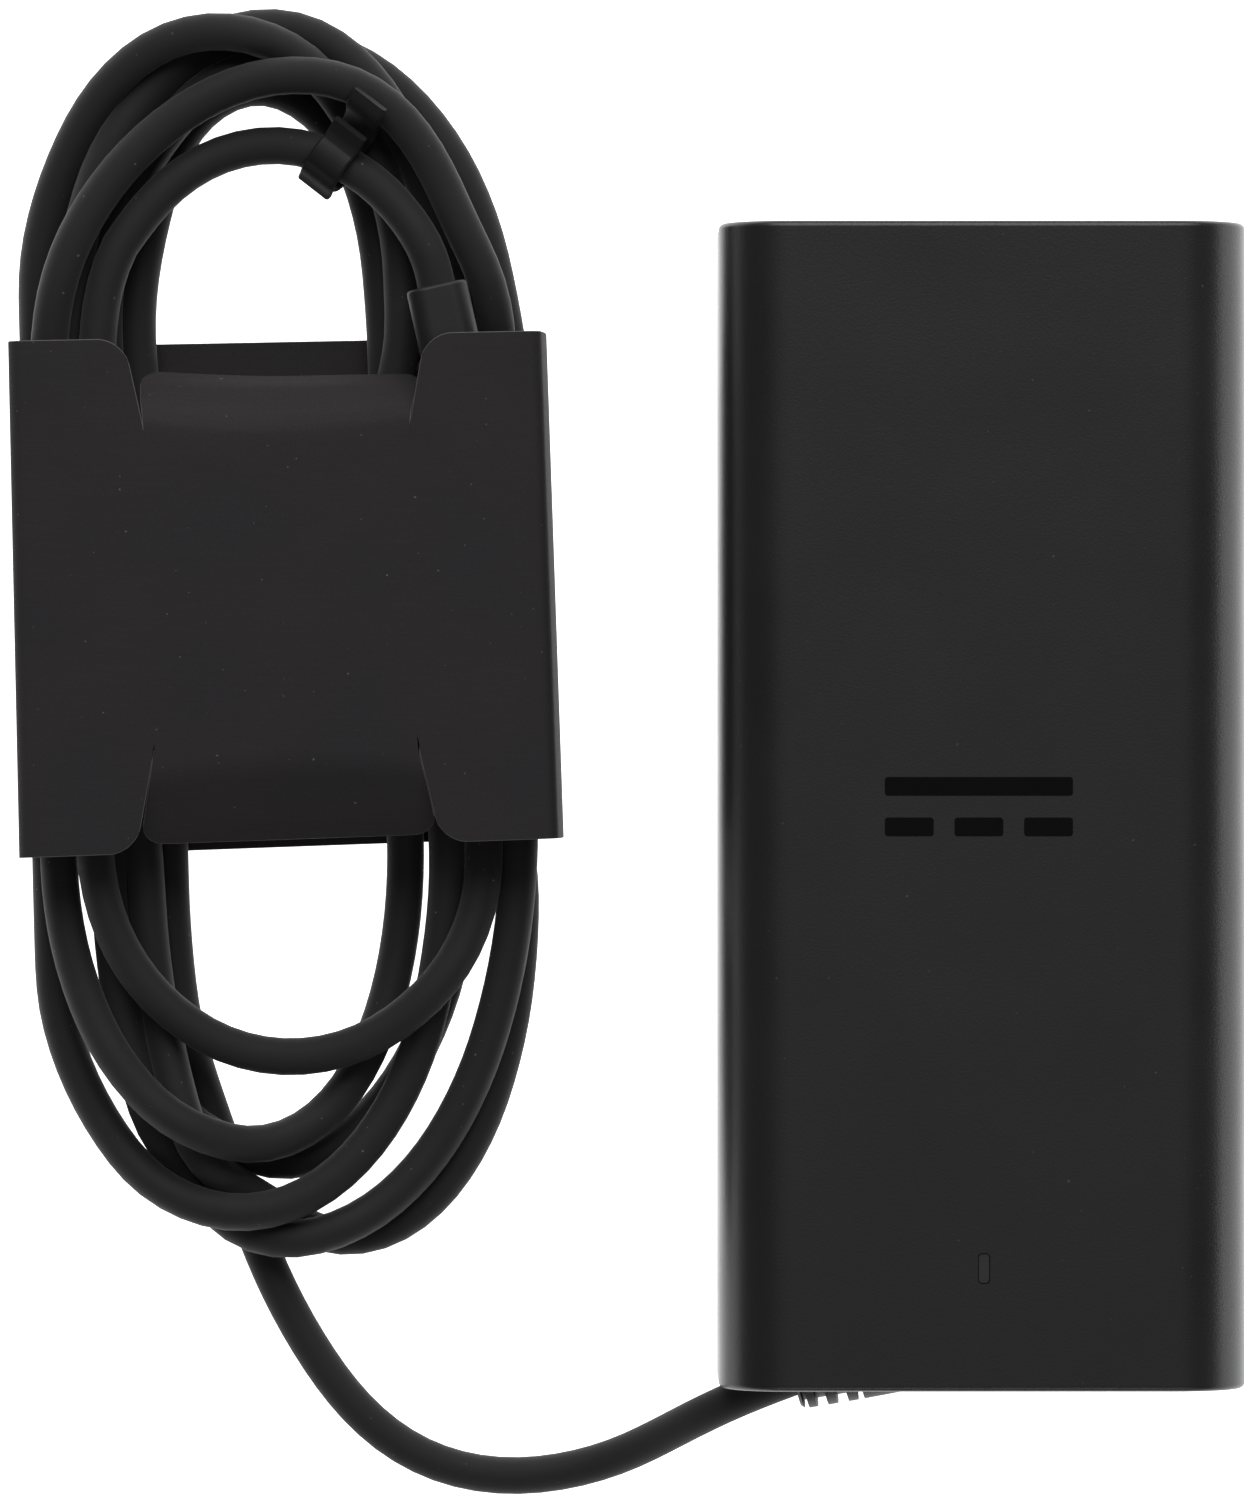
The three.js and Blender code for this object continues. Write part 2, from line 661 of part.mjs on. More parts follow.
const plugPlace = inHank(PLUG_REAR);
const plugTurn = PLUG_TURN - SLEEVE_TURN;
const tiePlace = inHank(TIE_CENTRE);
const tieTurn = TIE_TURN - SLEEVE_TURN;

/** Moves a solid made along -Y from its own origin to the plug's place. */
function atPlug(solid) {
  return solid.rotate([0, 0, THREE.MathUtils.radToDeg(plugTurn)]).translate(plugPlace.toArray());
}

function atTie(solid) {
  return solid.rotate([0, 0, THREE.MathUtils.radToDeg(tieTurn)]).translate(tiePlace.toArray());
}

/** A flat-sided section with round ends, standing across the plug's middle line. */
function plugSection(width, height) {
  return roundedRectangle(width, height, width / 2 - 0.01);
}

function plugClearance() {
  const boot = plugSection(PLUG_WIDTH + 2 * GAP, PLUG_HEIGHT + 2 * GAP);
  const lead = block([-CORD_DIAMETER / 2 - GAP, 0, -2.2], [CORD_DIAMETER / 2 + GAP, 3, 8]);
  return atPlug(along(boot, -PLUG_LENGTH - SHELL_LENGTH - 1, GAP, 8).add(lead));
}

function tieClearance() {
  return atTie(block([-2.8, -4.2, -3.2], [2.8, 7.6, 9]));
}

function hankSolid() {
  const outer = oval(HANK_SIDE_SHIFT, HANK_HALF_WIDTH, 17, 41.3, -33, 33, 28);
  const inner = oval(HANK_SIDE_SHIFT - 0.6, 9.9, 26, 16.6, -36, 8.4, 16);
  const ring = raised(outer, HANK_BOTTOM, HANK_TOP).subtract(raised(inner, -1, FAR));
  const innerRuns = block([-12.4, -42.5, INNER_RUNS_TOP], [12.4, 40.5, FAR]);
  return ring.subtract(plugClearance()).subtract(tieClearance()).subtract(innerRuns);
}

place("cord_coil", hankSolid(), CORD_PLASTIC, hank);

// ---- Plug -----------------------------------------------------------------------------------

function plugBoot() {
  const boot = plugSection(PLUG_WIDTH, PLUG_HEIGHT);
  const nose = plugSection(SHELL_WIDTH + 2 * GAP, SHELL_HEIGHT + 2 * GAP);
  const body = along(boot, -PLUG_LENGTH, 0, 8);
  return atPlug(body.subtract(along(nose, -PLUG_LENGTH - 1, -PLUG_LENGTH + SHELL_SEAT, 6)));
}

const SHELL_REAR = -PLUG_LENGTH + SHELL_SEAT - GAP;
const SHELL_FRONT = -PLUG_LENGTH - SHELL_LENGTH;

function plugShell() {
  const outer = plugSection(SHELL_WIDTH, SHELL_HEIGHT);
  const inner = plugSection(SHELL_WIDTH - 2 * SHELL_SHEET, SHELL_HEIGHT - 2 * SHELL_SHEET);
  const body = along(outer, SHELL_FRONT, SHELL_REAR, 6);
  return atPlug(body.subtract(along(inner, SHELL_FRONT - 1, SHELL_REAR - 1, 6)));
}

/** The insulating liner in the plug's mouth, with the contact slot open at the front. */
function plugLiner() {
  const front = SHELL_FRONT + 0.4;
  const clear = 2 * (SHELL_SHEET + GAP);
  const outer = plugSection(SHELL_WIDTH - clear, SHELL_HEIGHT - clear);
  const slot = block([-0.36, front - 1, -2.9], [0.36, front + 5.2, 2.9]);
  return atPlug(along(outer, front, SHELL_REAR - 1 - GAP, 6).subtract(slot));
}

place("plug_boot", plugBoot(), SOFT_RUBBER, hank);
place("plug_shell", plugShell(), PLATED_METAL, hank);
place("plug_liner", plugLiner(), CHIP_EPOXY, hank);

// ---- Cord tie -------------------------------------------------------------------------------

/** A rubber band round the cord with a long tab at one side; the cord passes along X through it. */
function cordTie() {
  const ring = block([-1.9, -2.7, -2.6], [1.9, 2.7, 2.8]);
  const tabs = block([-1.9, -3.6, 1.3], [1.9, 6.9, 2.8]);
  const cordWay = new THREE.CylinderGeometry(CORD_DIAMETER / 2 + GAP, CORD_DIAMETER / 2 + GAP, 6, 20);
  cordWay.rotateZ(Math.PI / 2);
  return atTie(ring.add(tabs).subtract(toSolid(cordWay)));
}

place("cord_tie", cordTie(), SOFT_RUBBER, hank);

// ---- Sleeve ---------------------------------------------------------------------------------

const TONGUE_ROOT = 16.6; // from the sleeve's middle to the bend of each tongue
const TAB_WIDTH = 12; // front panel beside each notch
const NOTCH_CORNER = 3;

/** The cut at one end of the front panel: two slanted sides that meet the crease. */
function notchOutline(end) {
  const half = SLEEVE_WIDTH / 2;
  const edge = end * (SLEEVE_LENGTH / 2 + 1);
  const shoulder = end * (SLEEVE_LENGTH / 2);
  const crease = end * (TONGUE_ROOT + 0.1);
  const outline = [
    [-half + TAB_WIDTH - 2.6, edge],
    [-half + TAB_WIDTH - 2.6, shoulder],
    [-half + TAB_WIDTH - 0.4, shoulder - end * 0.7],
    [-half + TAB_WIDTH, shoulder - end * NOTCH_CORNER],
    [-half + TAB_WIDTH + 1.2, crease],
    [half - TAB_WIDTH - 1.2, crease],
    [half - TAB_WIDTH, shoulder - end * NOTCH_CORNER],
    [half - TAB_WIDTH + 0.4, shoulder - end * 0.7],
    [half - TAB_WIDTH + 2.6, shoulder],
    [half - TAB_WIDTH + 2.6, edge],
  ];
  return polygon(end > 0 ? outline : outline.reverse());
}

/** A tongue of the front panel, bent down between the hank's legs. */
function tongue(end, length, drop) {
  const half = SLEEVE_WIDTH / 2 - TAB_WIDTH - 3.6;
  const start = end * TONGUE_ROOT;
  const tip = start + end * length;
  const top = SLEEVE_HEIGHT;
  const side = new THREE.Shape();
  side.moveTo(start - end, top);
  side.lineTo(start, top);
  side.lineTo(tip, top - drop);
  side.lineTo(tip, top - drop - PAPER);
  side.lineTo(start, top - PAPER);
  side.lineTo(start - end, top - PAPER);
  const geometry = new THREE.ExtrudeGeometry(side, { depth: 2 * half, bevelEnabled: false });
  geometry.rotateX(Math.PI / 2);
  geometry.rotateZ(Math.PI / 2);
  geometry.translate(-half, 0, 0);
  return toSolid(geometry);
}

function cableSleeve() {
  const outer = roundedRectangle(SLEEVE_WIDTH, SLEEVE_HEIGHT, SLEEVE_RADIUS, 0, SLEEVE_HEIGHT / 2);
  const inner = roundedRectangle(
    SLEEVE_WIDTH - 2 * PAPER,
    SLEEVE_HEIGHT - 2 * PAPER,
    SLEEVE_RADIUS - PAPER,
    0,
    SLEEVE_HEIGHT / 2,
  );
  const half = SLEEVE_LENGTH / 2;
  let sleeve = along(outer, -half, half, 4).subtract(along(inner, -half - 1, half + 1, 4));
  for (const end of [1, -1]) {
    sleeve = sleeve.subtract(raised(notchOutline(end), SLEEVE_HEIGHT - 1, FAR));
  }
  return sleeve.add(tongue(1, 4.4, 5.9)).add(tongue(-1, 7.5, 3.6));
}

place("cable_sleeve", cableSleeve(), SLEEVE_PAPER, hank);

export default adapter;
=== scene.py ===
"""Looks of a laptop power adapter: a matt brick, a wound cord in a card sleeve and a small plug."""

import math

import bmesh
import bpy
import numpy as np
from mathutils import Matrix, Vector


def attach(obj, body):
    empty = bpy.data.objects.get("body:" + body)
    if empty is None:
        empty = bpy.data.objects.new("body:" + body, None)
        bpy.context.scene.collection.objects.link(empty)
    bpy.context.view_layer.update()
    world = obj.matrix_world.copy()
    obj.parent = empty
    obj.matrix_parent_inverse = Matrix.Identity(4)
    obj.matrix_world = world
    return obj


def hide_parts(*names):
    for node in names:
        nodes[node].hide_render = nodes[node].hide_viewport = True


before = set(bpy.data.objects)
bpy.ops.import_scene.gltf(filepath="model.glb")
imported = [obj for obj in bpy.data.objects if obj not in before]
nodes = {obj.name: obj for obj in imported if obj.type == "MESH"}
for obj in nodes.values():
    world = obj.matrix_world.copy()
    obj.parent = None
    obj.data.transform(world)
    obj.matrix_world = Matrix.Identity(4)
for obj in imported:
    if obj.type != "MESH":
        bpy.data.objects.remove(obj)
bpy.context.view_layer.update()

MM = 0.001
scene = bpy.context.scene

# ---- Camera -------------------------------------------------------------------------------------

CAMERA_PLACE = (-0.0348, 0.0054, 1.0)  # a metre up, looking straight down
LENS = 242.4

camera_data = bpy.data.cameras.new("camera")
camera_data.sensor_width = 36
camera_data.lens = LENS
camera_data.clip_start = 0.05
camera_data.clip_end = 20
camera = bpy.data.objects.new("camera", camera_data)
camera.location = CAMERA_PLACE
scene.collection.objects.link(camera)
scene.camera = camera

# ---- Cord ---------------------------------------------------------------------------------------

CORD_RADIUS = 1.85
CORD_DIAMETER = 2 * CORD_RADIUS

HANK_CENTRE = np.array([-68.05, 20.8])
HANK_TURN = math.radians(1.6)
SLEEVE_HEIGHT = 16.0
SLEEVE_HALF_WIDTH = 26.2
SLEEVE_HALF_LENGTH = 25.0
SLEEVE_SLIDE = 14.0  # how far the sleeve slides along the hank
PAPER = 0.4

PLUG_REAR = np.array([-53.0, 50.8])
PLUG_TURN = math.radians(12.5)
PLUG_FORWARD = np.array([math.sin(PLUG_TURN), -math.cos(PLUG_TURN)])
PLUG_BOTTOM = 5.5
PLUG_WIDTH = 6.0
PLUG_HEIGHT = 9.6
PLUG_LENGTH = 21.0
PLUG_MIDDLE = PLUG_BOTTOM + PLUG_HEIGHT / 2

# The lead, from the strain relief down to the table, out in a loose curve and under the hank.
LEAD = [
    (-18.1, -55.8, 13.4),
    (-20.8, -56.8, 12.8),
    (-23.4, -57.9, 11.8),
    (-26.2, -59.3, 10.1),
    (-29, -60.9, 7.8),
    (-31.8, -62.6, 5.4),
    (-34.8, -64.3, 3.4),
    (-38, -65.4, 2.2),
    (-41.5, -66.2, 1.9),
    (-45.3, -66.6, 1.9),
    (-49.4, -66.3, 1.9),
    (-53.6, -65.2, 1.9),
    (-57.8, -62.9, 1.9),
    (-61.9, -59.1, 1.9),
    (-65.4, -54.1, 1.9),
    (-68.3, -49, 1.9),
    (-69.8, -45.9, 1.9),
    (-71.8, -40.5, 1.9),
    (-74.9, -32.1, 2.0),
    (-78.3, -22, 2.3),
    (-79.4, -11.4, 2.3),
    (-79.5, -5, 2.3),
    (-79.9, 8, 2.3),
    (-80.9, 22, 2.3),
    (-82.2, 36, 2.3),
]
FREE_FROM = 110.0  # the lead lies as listed up to here; the turns after it settle

# One half turn of the hank at each end: left, right, peak, lean, fullness; innermost first.
FAR_TURNS = [
    (-86.6, -52.0, 65.6, 0.2, 1.05),
    (-90.9, -50.2, 72.1, 4.2, 1.08),
    (-93.5, -55.8, 76.3, 1.0, 1.0),
    (-89.3, -51.6, 76.7, 0.0, 1.15),
    (-89.9, -48.0, 74.9, -0.7, 1.15),
    (-86.6, -49.2, 73.8, 0.0, 1.1),
    (-83.4, -58.0, 72.4, 0.0, 0.92),
]
NEAR_TURNS = [
    (-86.7, -47.8, -25.1, -0.2, 1.1),
    (-90.4, -56.1, -34.0, 1.9, 1.02),
    (-93.0, -51.8, -40.3, 0.5, 0.95),
    (-84.5, -45.1, -42.6, -1.6, 0.97),
    (-82.5, -44.7, -43.4, 1.0, 0.84),
    (-83.1, -51.0, -36.1, -2.4, 0.9),
]
# Where each right-hand run passes beside the plug inside the sleeve: X and height.
RUNS_BY_PLUG = [None, (-50.5, 2.4), (-57, 6.1), (-54.3, 6.1), (-46.8, 2.4), (-54.2, 2.4), (-57.9, 2.4)]
FAR_BASE = 46.5  # Y where the half turns at the far end start
NEAR_BASE = -5.0
LAYER = 1.3  # height between half turns before they settle

SETTLING_ROUNDS = 500
FAST_SINK = 0.12  # how far the turns sink in each of the first half of the rounds
SLOW_SINK = 0.04
HOMING = 0.1  # how strongly a turn is drawn back to its listed place
TURN_GAP = 0.06
FIRMNESS = np.array([0.6, 0.6, 1.0])  # turns give way upwards more readily than sideways
NEIGHBOURS = 6  # points this near along the cord don't push each other away

PLUG_AXIS_LOW = PLUG_BOTTOM + 3.0
PLUG_MARGIN = 4.95
PLUG_REACH = 27.0
TONGUE_SIDE = 15.0  # the turns lie lower in this half width, under the sleeve's tongues
FAR_TONGUE_FROM = 16.5
UNDER_FAR_TONGUE = 8.5
NEAR_TONGUE_FROM = -18.0
UNDER_NEAR_TONGUE = 11.3
SLIDE_MARGIN = 3.5
TABLE_GAP = 0.02
SIDE_GAP = 0.18
SIDE_BULGE = 0.2  # the sleeve is a little wider at its near end


def half_turn(turn, base, height):
    """A level half turn from its left end over its peak to its right end."""
    left, right, peak, lean, fullness = turn
    angle = np.linspace(math.pi, 0, 24)
    x = (left + right) / 2 + (right - left) / 2 * np.cos(angle) + lean * np.sin(angle) ** 2
    y = base + (peak - base) * np.sin(angle) ** fullness
    return [(a, b, height) for a, b in zip(x, y)]


def wound_route():
    """The turns one above another, from the lead up to the plug, before they settle."""
    points = list(LEAD)
    height = 2.0
    for k in range(len(FAR_TURNS) - 1, -1, -1):
        height += LAYER
        far = half_turn(FAR_TURNS[k], FAR_BASE, height)
        if k == 0:
            points += [p for p in far if not (p[0] > -60 and p[1] < 53.5)]
            break
        points += far
        run_x, run_height = RUNS_BY_PLUG[k]
        points += [(run_x, 36, run_height), (run_x, 24, run_height)]
        height += LAYER
        points += half_turn(NEAR_TURNS[k - 1], NEAR_BASE, height)[::-1]
    for back in (2.0, 0.0):
        x, y = PLUG_REAR - PLUG_FORWARD * back
        points.append((x, y, PLUG_MIDDLE))
    return np.array(points)


def lengths_along(route):
    return np.r_[0, np.cumsum(np.linalg.norm(np.diff(route, axis=0), axis=1))]


def resampled(route, step):
    along = lengths_along(route)
    places = np.linspace(0, along[-1], int(round(along[-1] / step)) + 1)
    return np.stack([np.interp(places, along, route[:, axis]) for axis in range(3)], 1)


def relaxed(route, passes):
    route = route.copy()
    for _ in range(passes):
        route[1:-1] = 0.25 * route[:-2] + 0.5 * route[1:-1] + 0.25 * route[2:]
    return route


def in_hank(route):
    """Plan places in the hank's own turned frame."""
    offset = route[:, :2] - HANK_CENTRE
    cosine, sine = math.cos(HANK_TURN), math.sin(HANK_TURN)
    return np.c_[
        offset[:, 0] * cosine + offset[:, 1] * sine,
        offset[:, 1] * cosine - offset[:, 0] * sine,
    ]


def settled(route, free):
    """Lets the turns sink until they lie on each other, on the table and inside the sleeve."""
    gap = CORD_DIAMETER + TURN_GAP
    home = route.copy()
    route = route.copy()
    count = len(route)
    first, second = np.triu_indices(count, NEIGHBOURS)
    movable = free & (np.arange(count) < count - 8)
    for step in range(SETTLING_ROUNDS):
        if step % 10 == 0:
            plan = ((route[first, :2] - route[second, :2]) ** 2).sum(1)
            near = plan < (gap + 3) ** 2
            a, b = first[near], second[near]
        route[free, 2] -= FAST_SINK if step < SETTLING_ROUNDS / 2 else SLOW_SINK
        route[free, :2] += HOMING * (home[free, :2] - route[free, :2])
        shift = relaxed(route - home, 2)
        heights = relaxed(route, 3)[:, 2]
        route[free, :2] = (home + shift)[free, :2]
        route[free, 2] = heights[free]
        for _ in range(4):
            apart = route[a] - route[b]
            distance = np.sqrt((apart**2).sum(1)) + 1e-9
            touching = distance < gap
            i, j = a[touching], b[touching]
            share = ((gap - distance[touching]) / distance[touching] * 0.5)[:, None]
            push = apart[touching] * share * FIRMNESS
            hits = np.bincount(i, minlength=count) + np.bincount(j, minlength=count)
            move = np.stack(
                [
                    np.bincount(i, push[:, axis], count) - np.bincount(j, push[:, axis], count)
                    for axis in range(3)
                ],
                1,
            )
            route[free] += (move / np.clip(hits, 1, 2)[:, None])[free]
            clear_of_plug(route, movable)
            stay_in_bounds(route, free)
    return route


def clear_of_plug(route, movable):
    """Pushes turns out of the space round the plug's upright middle plane."""
    offset = route[:, :2] - PLUG_REAR
    share = np.clip(offset @ PLUG_FORWARD, 0, PLUG_REACH)
    nearest = PLUG_REAR + share[:, None] * PLUG_FORWARD
    away = np.c_[route[:, :2] - nearest, route[:, 2] - np.maximum(route[:, 2], PLUG_AXIS_LOW)]
    distance = np.linalg.norm(away, axis=1) + 1e-9
    hit = (distance < PLUG_MARGIN) & movable
    route[hit] += away[hit] / distance[hit, None] * (PLUG_MARGIN - distance[hit])[:, None]


def stay_in_bounds(route, free):
    """Keeps the turns off the table and inside the sleeve, also where the sleeve can slide to."""
    place = in_hank(route)
    inside = np.abs(place[:, 1]) < SLEEVE_HALF_LENGTH + 0.5
    reached = np.abs(place[:, 1]) < SLEEVE_HALF_LENGTH + SLEEVE_SLIDE + SLIDE_MARGIN
    between_tabs = inside & (np.abs(place[:, 0]) < TONGUE_SIDE)
    floor = np.where(reached, PAPER + CORD_RADIUS + TABLE_GAP, CORD_RADIUS + TABLE_GAP)
    ceiling = np.where(inside, SLEEVE_HEIGHT - PAPER - 0.05 - CORD_RADIUS, 99.0)
    far = between_tabs & (place[:, 1] > FAR_TONGUE_FROM)
    ceiling = np.where(far, UNDER_FAR_TONGUE - CORD_RADIUS, ceiling)
    near = between_tabs & (place[:, 1] < NEAR_TONGUE_FROM)
    ceiling = np.where(near, UNDER_NEAR_TONGUE - CORD_RADIUS, ceiling)
    route[:, 2] = np.where(free, np.clip(route[:, 2], floor, ceiling), route[:, 2])
    side = SLEEVE_HALF_WIDTH - PAPER - SIDE_GAP - CORD_RADIUS
    side += np.interp(-place[:, 1], [0, 30], [0, SIDE_BULGE])
    inward = np.clip(place[:, 0], -side, side) - place[:, 0]
    inward = np.where(reached & free, inward, 0)
    route[:, 0] += inward * math.cos(HANK_TURN)
    route[:, 1] += inward * math.sin(HANK_TURN)


def cord_route():
    """The cord's middle line from the strain relief to the plug, at steps of 2 mm."""
    route = relaxed(resampled(wound_route(), 1.0), 14)
    route = resampled(route, 2.0)
    free = lengths_along(route) > FREE_FROM
    free[-3:] = False
    route[-3:, 2] = PLUG_MIDDLE
    return lifted_to_plug(relaxed(settled(route, free), 2))


def lifted_to_plug(route, points=16):
    """The last stretch rises in one smooth line from the turns to the plug."""
    start = len(route) - 3 - points
    share = np.linspace(0, 1, points)
    line = route[start, 2] + (PLUG_MIDDLE - route[start, 2]) * share**2 * (3 - 2 * share)
    route[start : start + points, 2] = np.maximum(route[start : start + points, 2], line)
    tail = relaxed(route[start - 6 :], 6)
    route[start - 6 :] = tail
    return route


def new_piece(name, points, faces):
    """A piece from points in millimetres."""
    mesh = bpy.data.meshes.new(name)
    mesh.from_pydata([tuple(p) for p in np.asarray(points) * MM], [], [tuple(f) for f in faces])
    mesh.update()
    piece = bpy.data.objects.new(name, mesh)
    scene.collection.objects.link(piece)
    return piece


def ring_faces(rings, sides):
    """Faces between rings of points, and one over each end."""
    faces = []
    for ring in range(rings - 1):
        for side in range(sides):
            a, b = ring * sides + side, ring * sides + (side + 1) % sides
            faces.append((a, b, b + sides, a + sides))
    faces.append(tuple(range(sides))[::-1])
    faces.append(tuple(range((rings - 1) * sides, rings * sides)))
    return faces


def frames_along(route):
    """Forward, sideways and upward directions along a route, without twist."""
    forward = np.gradient(route, axis=0)
    forward /= np.linalg.norm(forward, axis=1)[:, None]
    sideways = np.zeros_like(forward)
    side = np.cross(forward[0], (0, 0, 1))
    for k, ahead in enumerate(forward):
        side = side - ahead * (side @ ahead)
        side = side / np.linalg.norm(side)
        sideways[k] = side
    return forward, sideways, np.cross(forward, sideways)


def tube(name, route, radii, sides):
    """A closed tube of one radius, or of a radius for each point of each ring."""
    route = np.asarray(route, float)
    _, sideways, upward = frames_along(route)
    angle = np.linspace(0, 2 * math.pi, sides, endpoint=False)
    radii = np.broadcast_to(radii, (len(route), sides))
    around = sideways[:, None] * np.cos(angle)[:, None] + upward[:, None] * np.sin(angle)[:, None]
    points = route[:, None] + around * radii[..., None]
    return new_piece(name, points.reshape(-1, 3), ring_faces(len(route), sides))


def soften(piece, angle=35.0):
    """Smooth shading, with edges sharper than the angle kept crisp."""
    mesh = piece.data
    for polygon in mesh.polygons:
        polygon.use_smooth = True
    solid = bmesh.new()
    solid.from_mesh(mesh)
    for edge in solid.edges:
        edge.smooth = len(edge.link_faces) == 2 and edge.calc_face_angle(0) < math.radians(angle)
    solid.to_mesh(mesh)
    solid.free()
    return piece


def smooth_route(points, step):
    """A curve through the points, resampled to even steps."""
    points = np.asarray(points, float)
    padded = np.vstack([2 * points[0] - points[1], points, 2 * points[-1] - points[-2]])
    dense = []
    for a, b, c, d in zip(padded, padded[1:], padded[2:], padded[3:]):
        square = 2 * a - 5 * b + 4 * c - d
        cube = 3 * b - a - 3 * c + d
        for t in np.linspace(0, 1, 24, endpoint=False):
            dense.append(0.5 * (2 * b + (c - a) * t + square * t**2 + cube * t**3))
    dense.append(points[-1])
    return resampled(np.array(dense), step)


route = cord_route()
cord = soften(tube("cord", route, CORD_RADIUS, 20), 60)
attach(cord, "adapter")
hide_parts("cord_lead", "cord_coil")

# ---- Materials ----------------------------------------------------------------------------------


def linear(colour):
    """A screen colour, 0 to 255 each, as scene-linear values."""
    shares = [c / 255 for c in colour]
    return tuple(c / 12.92 if c <= 0.04045 else ((c + 0.055) / 1.055) ** 2.4 for c in shares)


class Look:
    """A node material built up in layers of colour, roughness and relief."""

    def __init__(self, name, colour, roughness, metallic=0.0, specular=0.5):
        self.material = bpy.data.materials.new(name)
        self.material.use_nodes = True
        self.tree = self.material.node_tree
        self.shader = self.tree.nodes["Principled BSDF"]
        self.shader.inputs["Metallic"].default_value = metallic
        self.shader.inputs["Specular IOR Level"].default_value = specular
        self.shader.inputs["Roughness"].default_value = roughness
        self.shader.inputs["Base Color"].default_value = (*linear(colour), 1)
        self.where = self.tree.nodes.new("ShaderNodeTexCoord").outputs["Object"]
        self.colour = linear(colour)
        self.colour_out = None
        self.relief_out = None

    def link(self, source, target):
        self.tree.links.new(source, target)

    def node(self, kind, **inputs):
        node = self.tree.nodes.new(kind)
        for name, value in inputs.items():
            socket = node.inputs[name.replace("_", " ")]
            if isinstance(value, bpy.types.NodeSocket):
                self.link(value, socket)
            else:
                socket.default_value = value
        return node

    def noise(self, size, detail=3.0, rough=0.5, where=None):
        """Noise whose features are about size millimetres across, 0 to 1."""
        return self.node(
            "ShaderNodeTexNoise",
            Vector=where or self.where,
            Scale=1 / (size * MM),
            Detail=detail,
            Roughness=rough,
        ).outputs["Fac"]

    def ramp(self, source, low, high, to_low=0.0, to_high=1.0):
        node = self.tree.nodes.new("ShaderNodeMapRange")
        node.inputs["From Min"].default_value = low
        node.inputs["From Max"].default_value = high
        node.inputs["To Min"].default_value = to_low
        node.inputs["To Max"].default_value = to_high
        self.link(source, node.inputs["Value"])
        return node.outputs["Result"]

    def math(self, operation, a, b=0.0):
        node = self.tree.nodes.new("ShaderNodeMath")
        node.operation = operation
        for socket, value in zip(node.inputs, (a, b)):
            if isinstance(value, bpy.types.NodeSocket):
                self.link(value, socket)
            else:
                socket.default_value = value
        return node.outputs[0]

    def tint(self, share, colour):
        """Moves the colour towards another one by a share from 0 to 1 at each place."""
        mix = self.tree.nodes.new("ShaderNodeMix")
        mix.data_type = "RGBA"
        self.link(share, mix.inputs[0])
        if self.colour_out is None:
            mix.inputs[6].default_value = (*self.colour, 1)
        else:
            self.link(self.colour_out, mix.inputs[6])
        mix.inputs[7].default_value = (*linear(colour), 1)
        self.colour_out = mix.outputs[2]
        self.link(self.colour_out, self.shader.inputs["Base Color"])
        return self

    def rough(self, source, low, high):
        self.link(self.ramp(source, 0.3, 0.7, low, high), self.shader.inputs["Roughness"])
        return self

    def relief(self, source, depth):
        """Raises the surface by source times depth millimetres."""
        bump = self.tree.nodes.new("ShaderNodeBump")
        bump.inputs["Distance"].default_value = depth * MM
        bump.inputs["Strength"].default_value = 1.0
        self.link(source, bump.inputs["Height"])
        if self.relief_out is not None:
            self.link(self.relief_out, bump.inputs["Normal"])
        self.relief_out = bump.outputs["Normal"]
        self.link(self.relief_out, self.shader.inputs["Normal"])
        return self


def case_look():
    look = Look("case plastic", (23, 23, 24), 0.34, specular=0.4)
    grain = look.noise(0.22, 2, 0.6)
    look.relief(grain, 0.02)
    patches = look.noise(14, 3)
    look.rough(patches, 0.32, 0.37)
    specks = look.ramp(look.noise(0.7, 1, 0.4), 0.79, 0.82)
    look.tint(look.math("MULTIPLY", patches, 0.25), (33, 33, 34))
    look.tint(look.math("MULTIPLY", specks, 0.35), (90, 90, 88))
    return look.material


def moulded(name, colour, roughness, grain=0.25, depth=0.01, spread=(8, 8, 8), specular=0.5):
    """Moulded plastic or rubber with a fine grain and slightly uneven gloss."""
    look = Look(name, colour, roughness, specular=specular)
    look.relief(look.noise(grain, 2), depth)
    uneven = look.noise(5, 3)
    look.rough(uneven, roughness - 0.05, roughness + 0.06)
    look.tint(look.math("MULTIPLY", uneven, 0.4), tuple(min(255, c + s) for c, s in zip(colour, spread)))
    return look.material


SCRATCH = (0.12, 3.0, 0.12)  # millimetres along X, Y and Z


def metal(name, colour, roughness):
    """Plated or bare metal with fine scratches along Y."""
    look = Look(name, colour, roughness, metallic=1.0)
    mapping = look.node("ShaderNodeMapping", Vector=look.where)
    mapping.inputs["Scale"].default_value = [1 / s for s in SCRATCH]
    lines = look.noise(1.0, 2, where=mapping.outputs["Vector"])
    look.relief(lines, 0.004)
    look.rough(lines, roughness - 0.06, roughness + 0.1)
    return look.material


def card_look():
    """Uncoated black card: faint streaks across it, a drift of tone, fibres and a few dust specks."""
    look = Look("sleeve card", (36, 33, 34), 0.78, specular=0.25)
    mapping = look.node("ShaderNodeMapping", Vector=look.where)
    mapping.inputs["Scale"].default_value = (0.08, 1.4, 1.4)
    streaks = look.noise(0.5, 3, where=mapping.outputs["Vector"])
    fibres = look.noise(0.25, 3, 0.65)
    look.relief(streaks, 0.012)
    look.relief(fibres, 0.018)
    look.tint(look.ramp(streaks, 0.45, 0.75, 0.0, 0.5), (39, 37, 38))
    look.tint(look.ramp(look.noise(16, 2), 0.4, 0.7, 0.0, 0.5), (31, 31, 34))
    look.tint(look.ramp(look.noise(0.42, 0, 0.3), 0.865, 0.88, 0.0, 0.6), (105, 102, 98))
    look.rough(fibres, 0.72, 0.84)
    return look.material


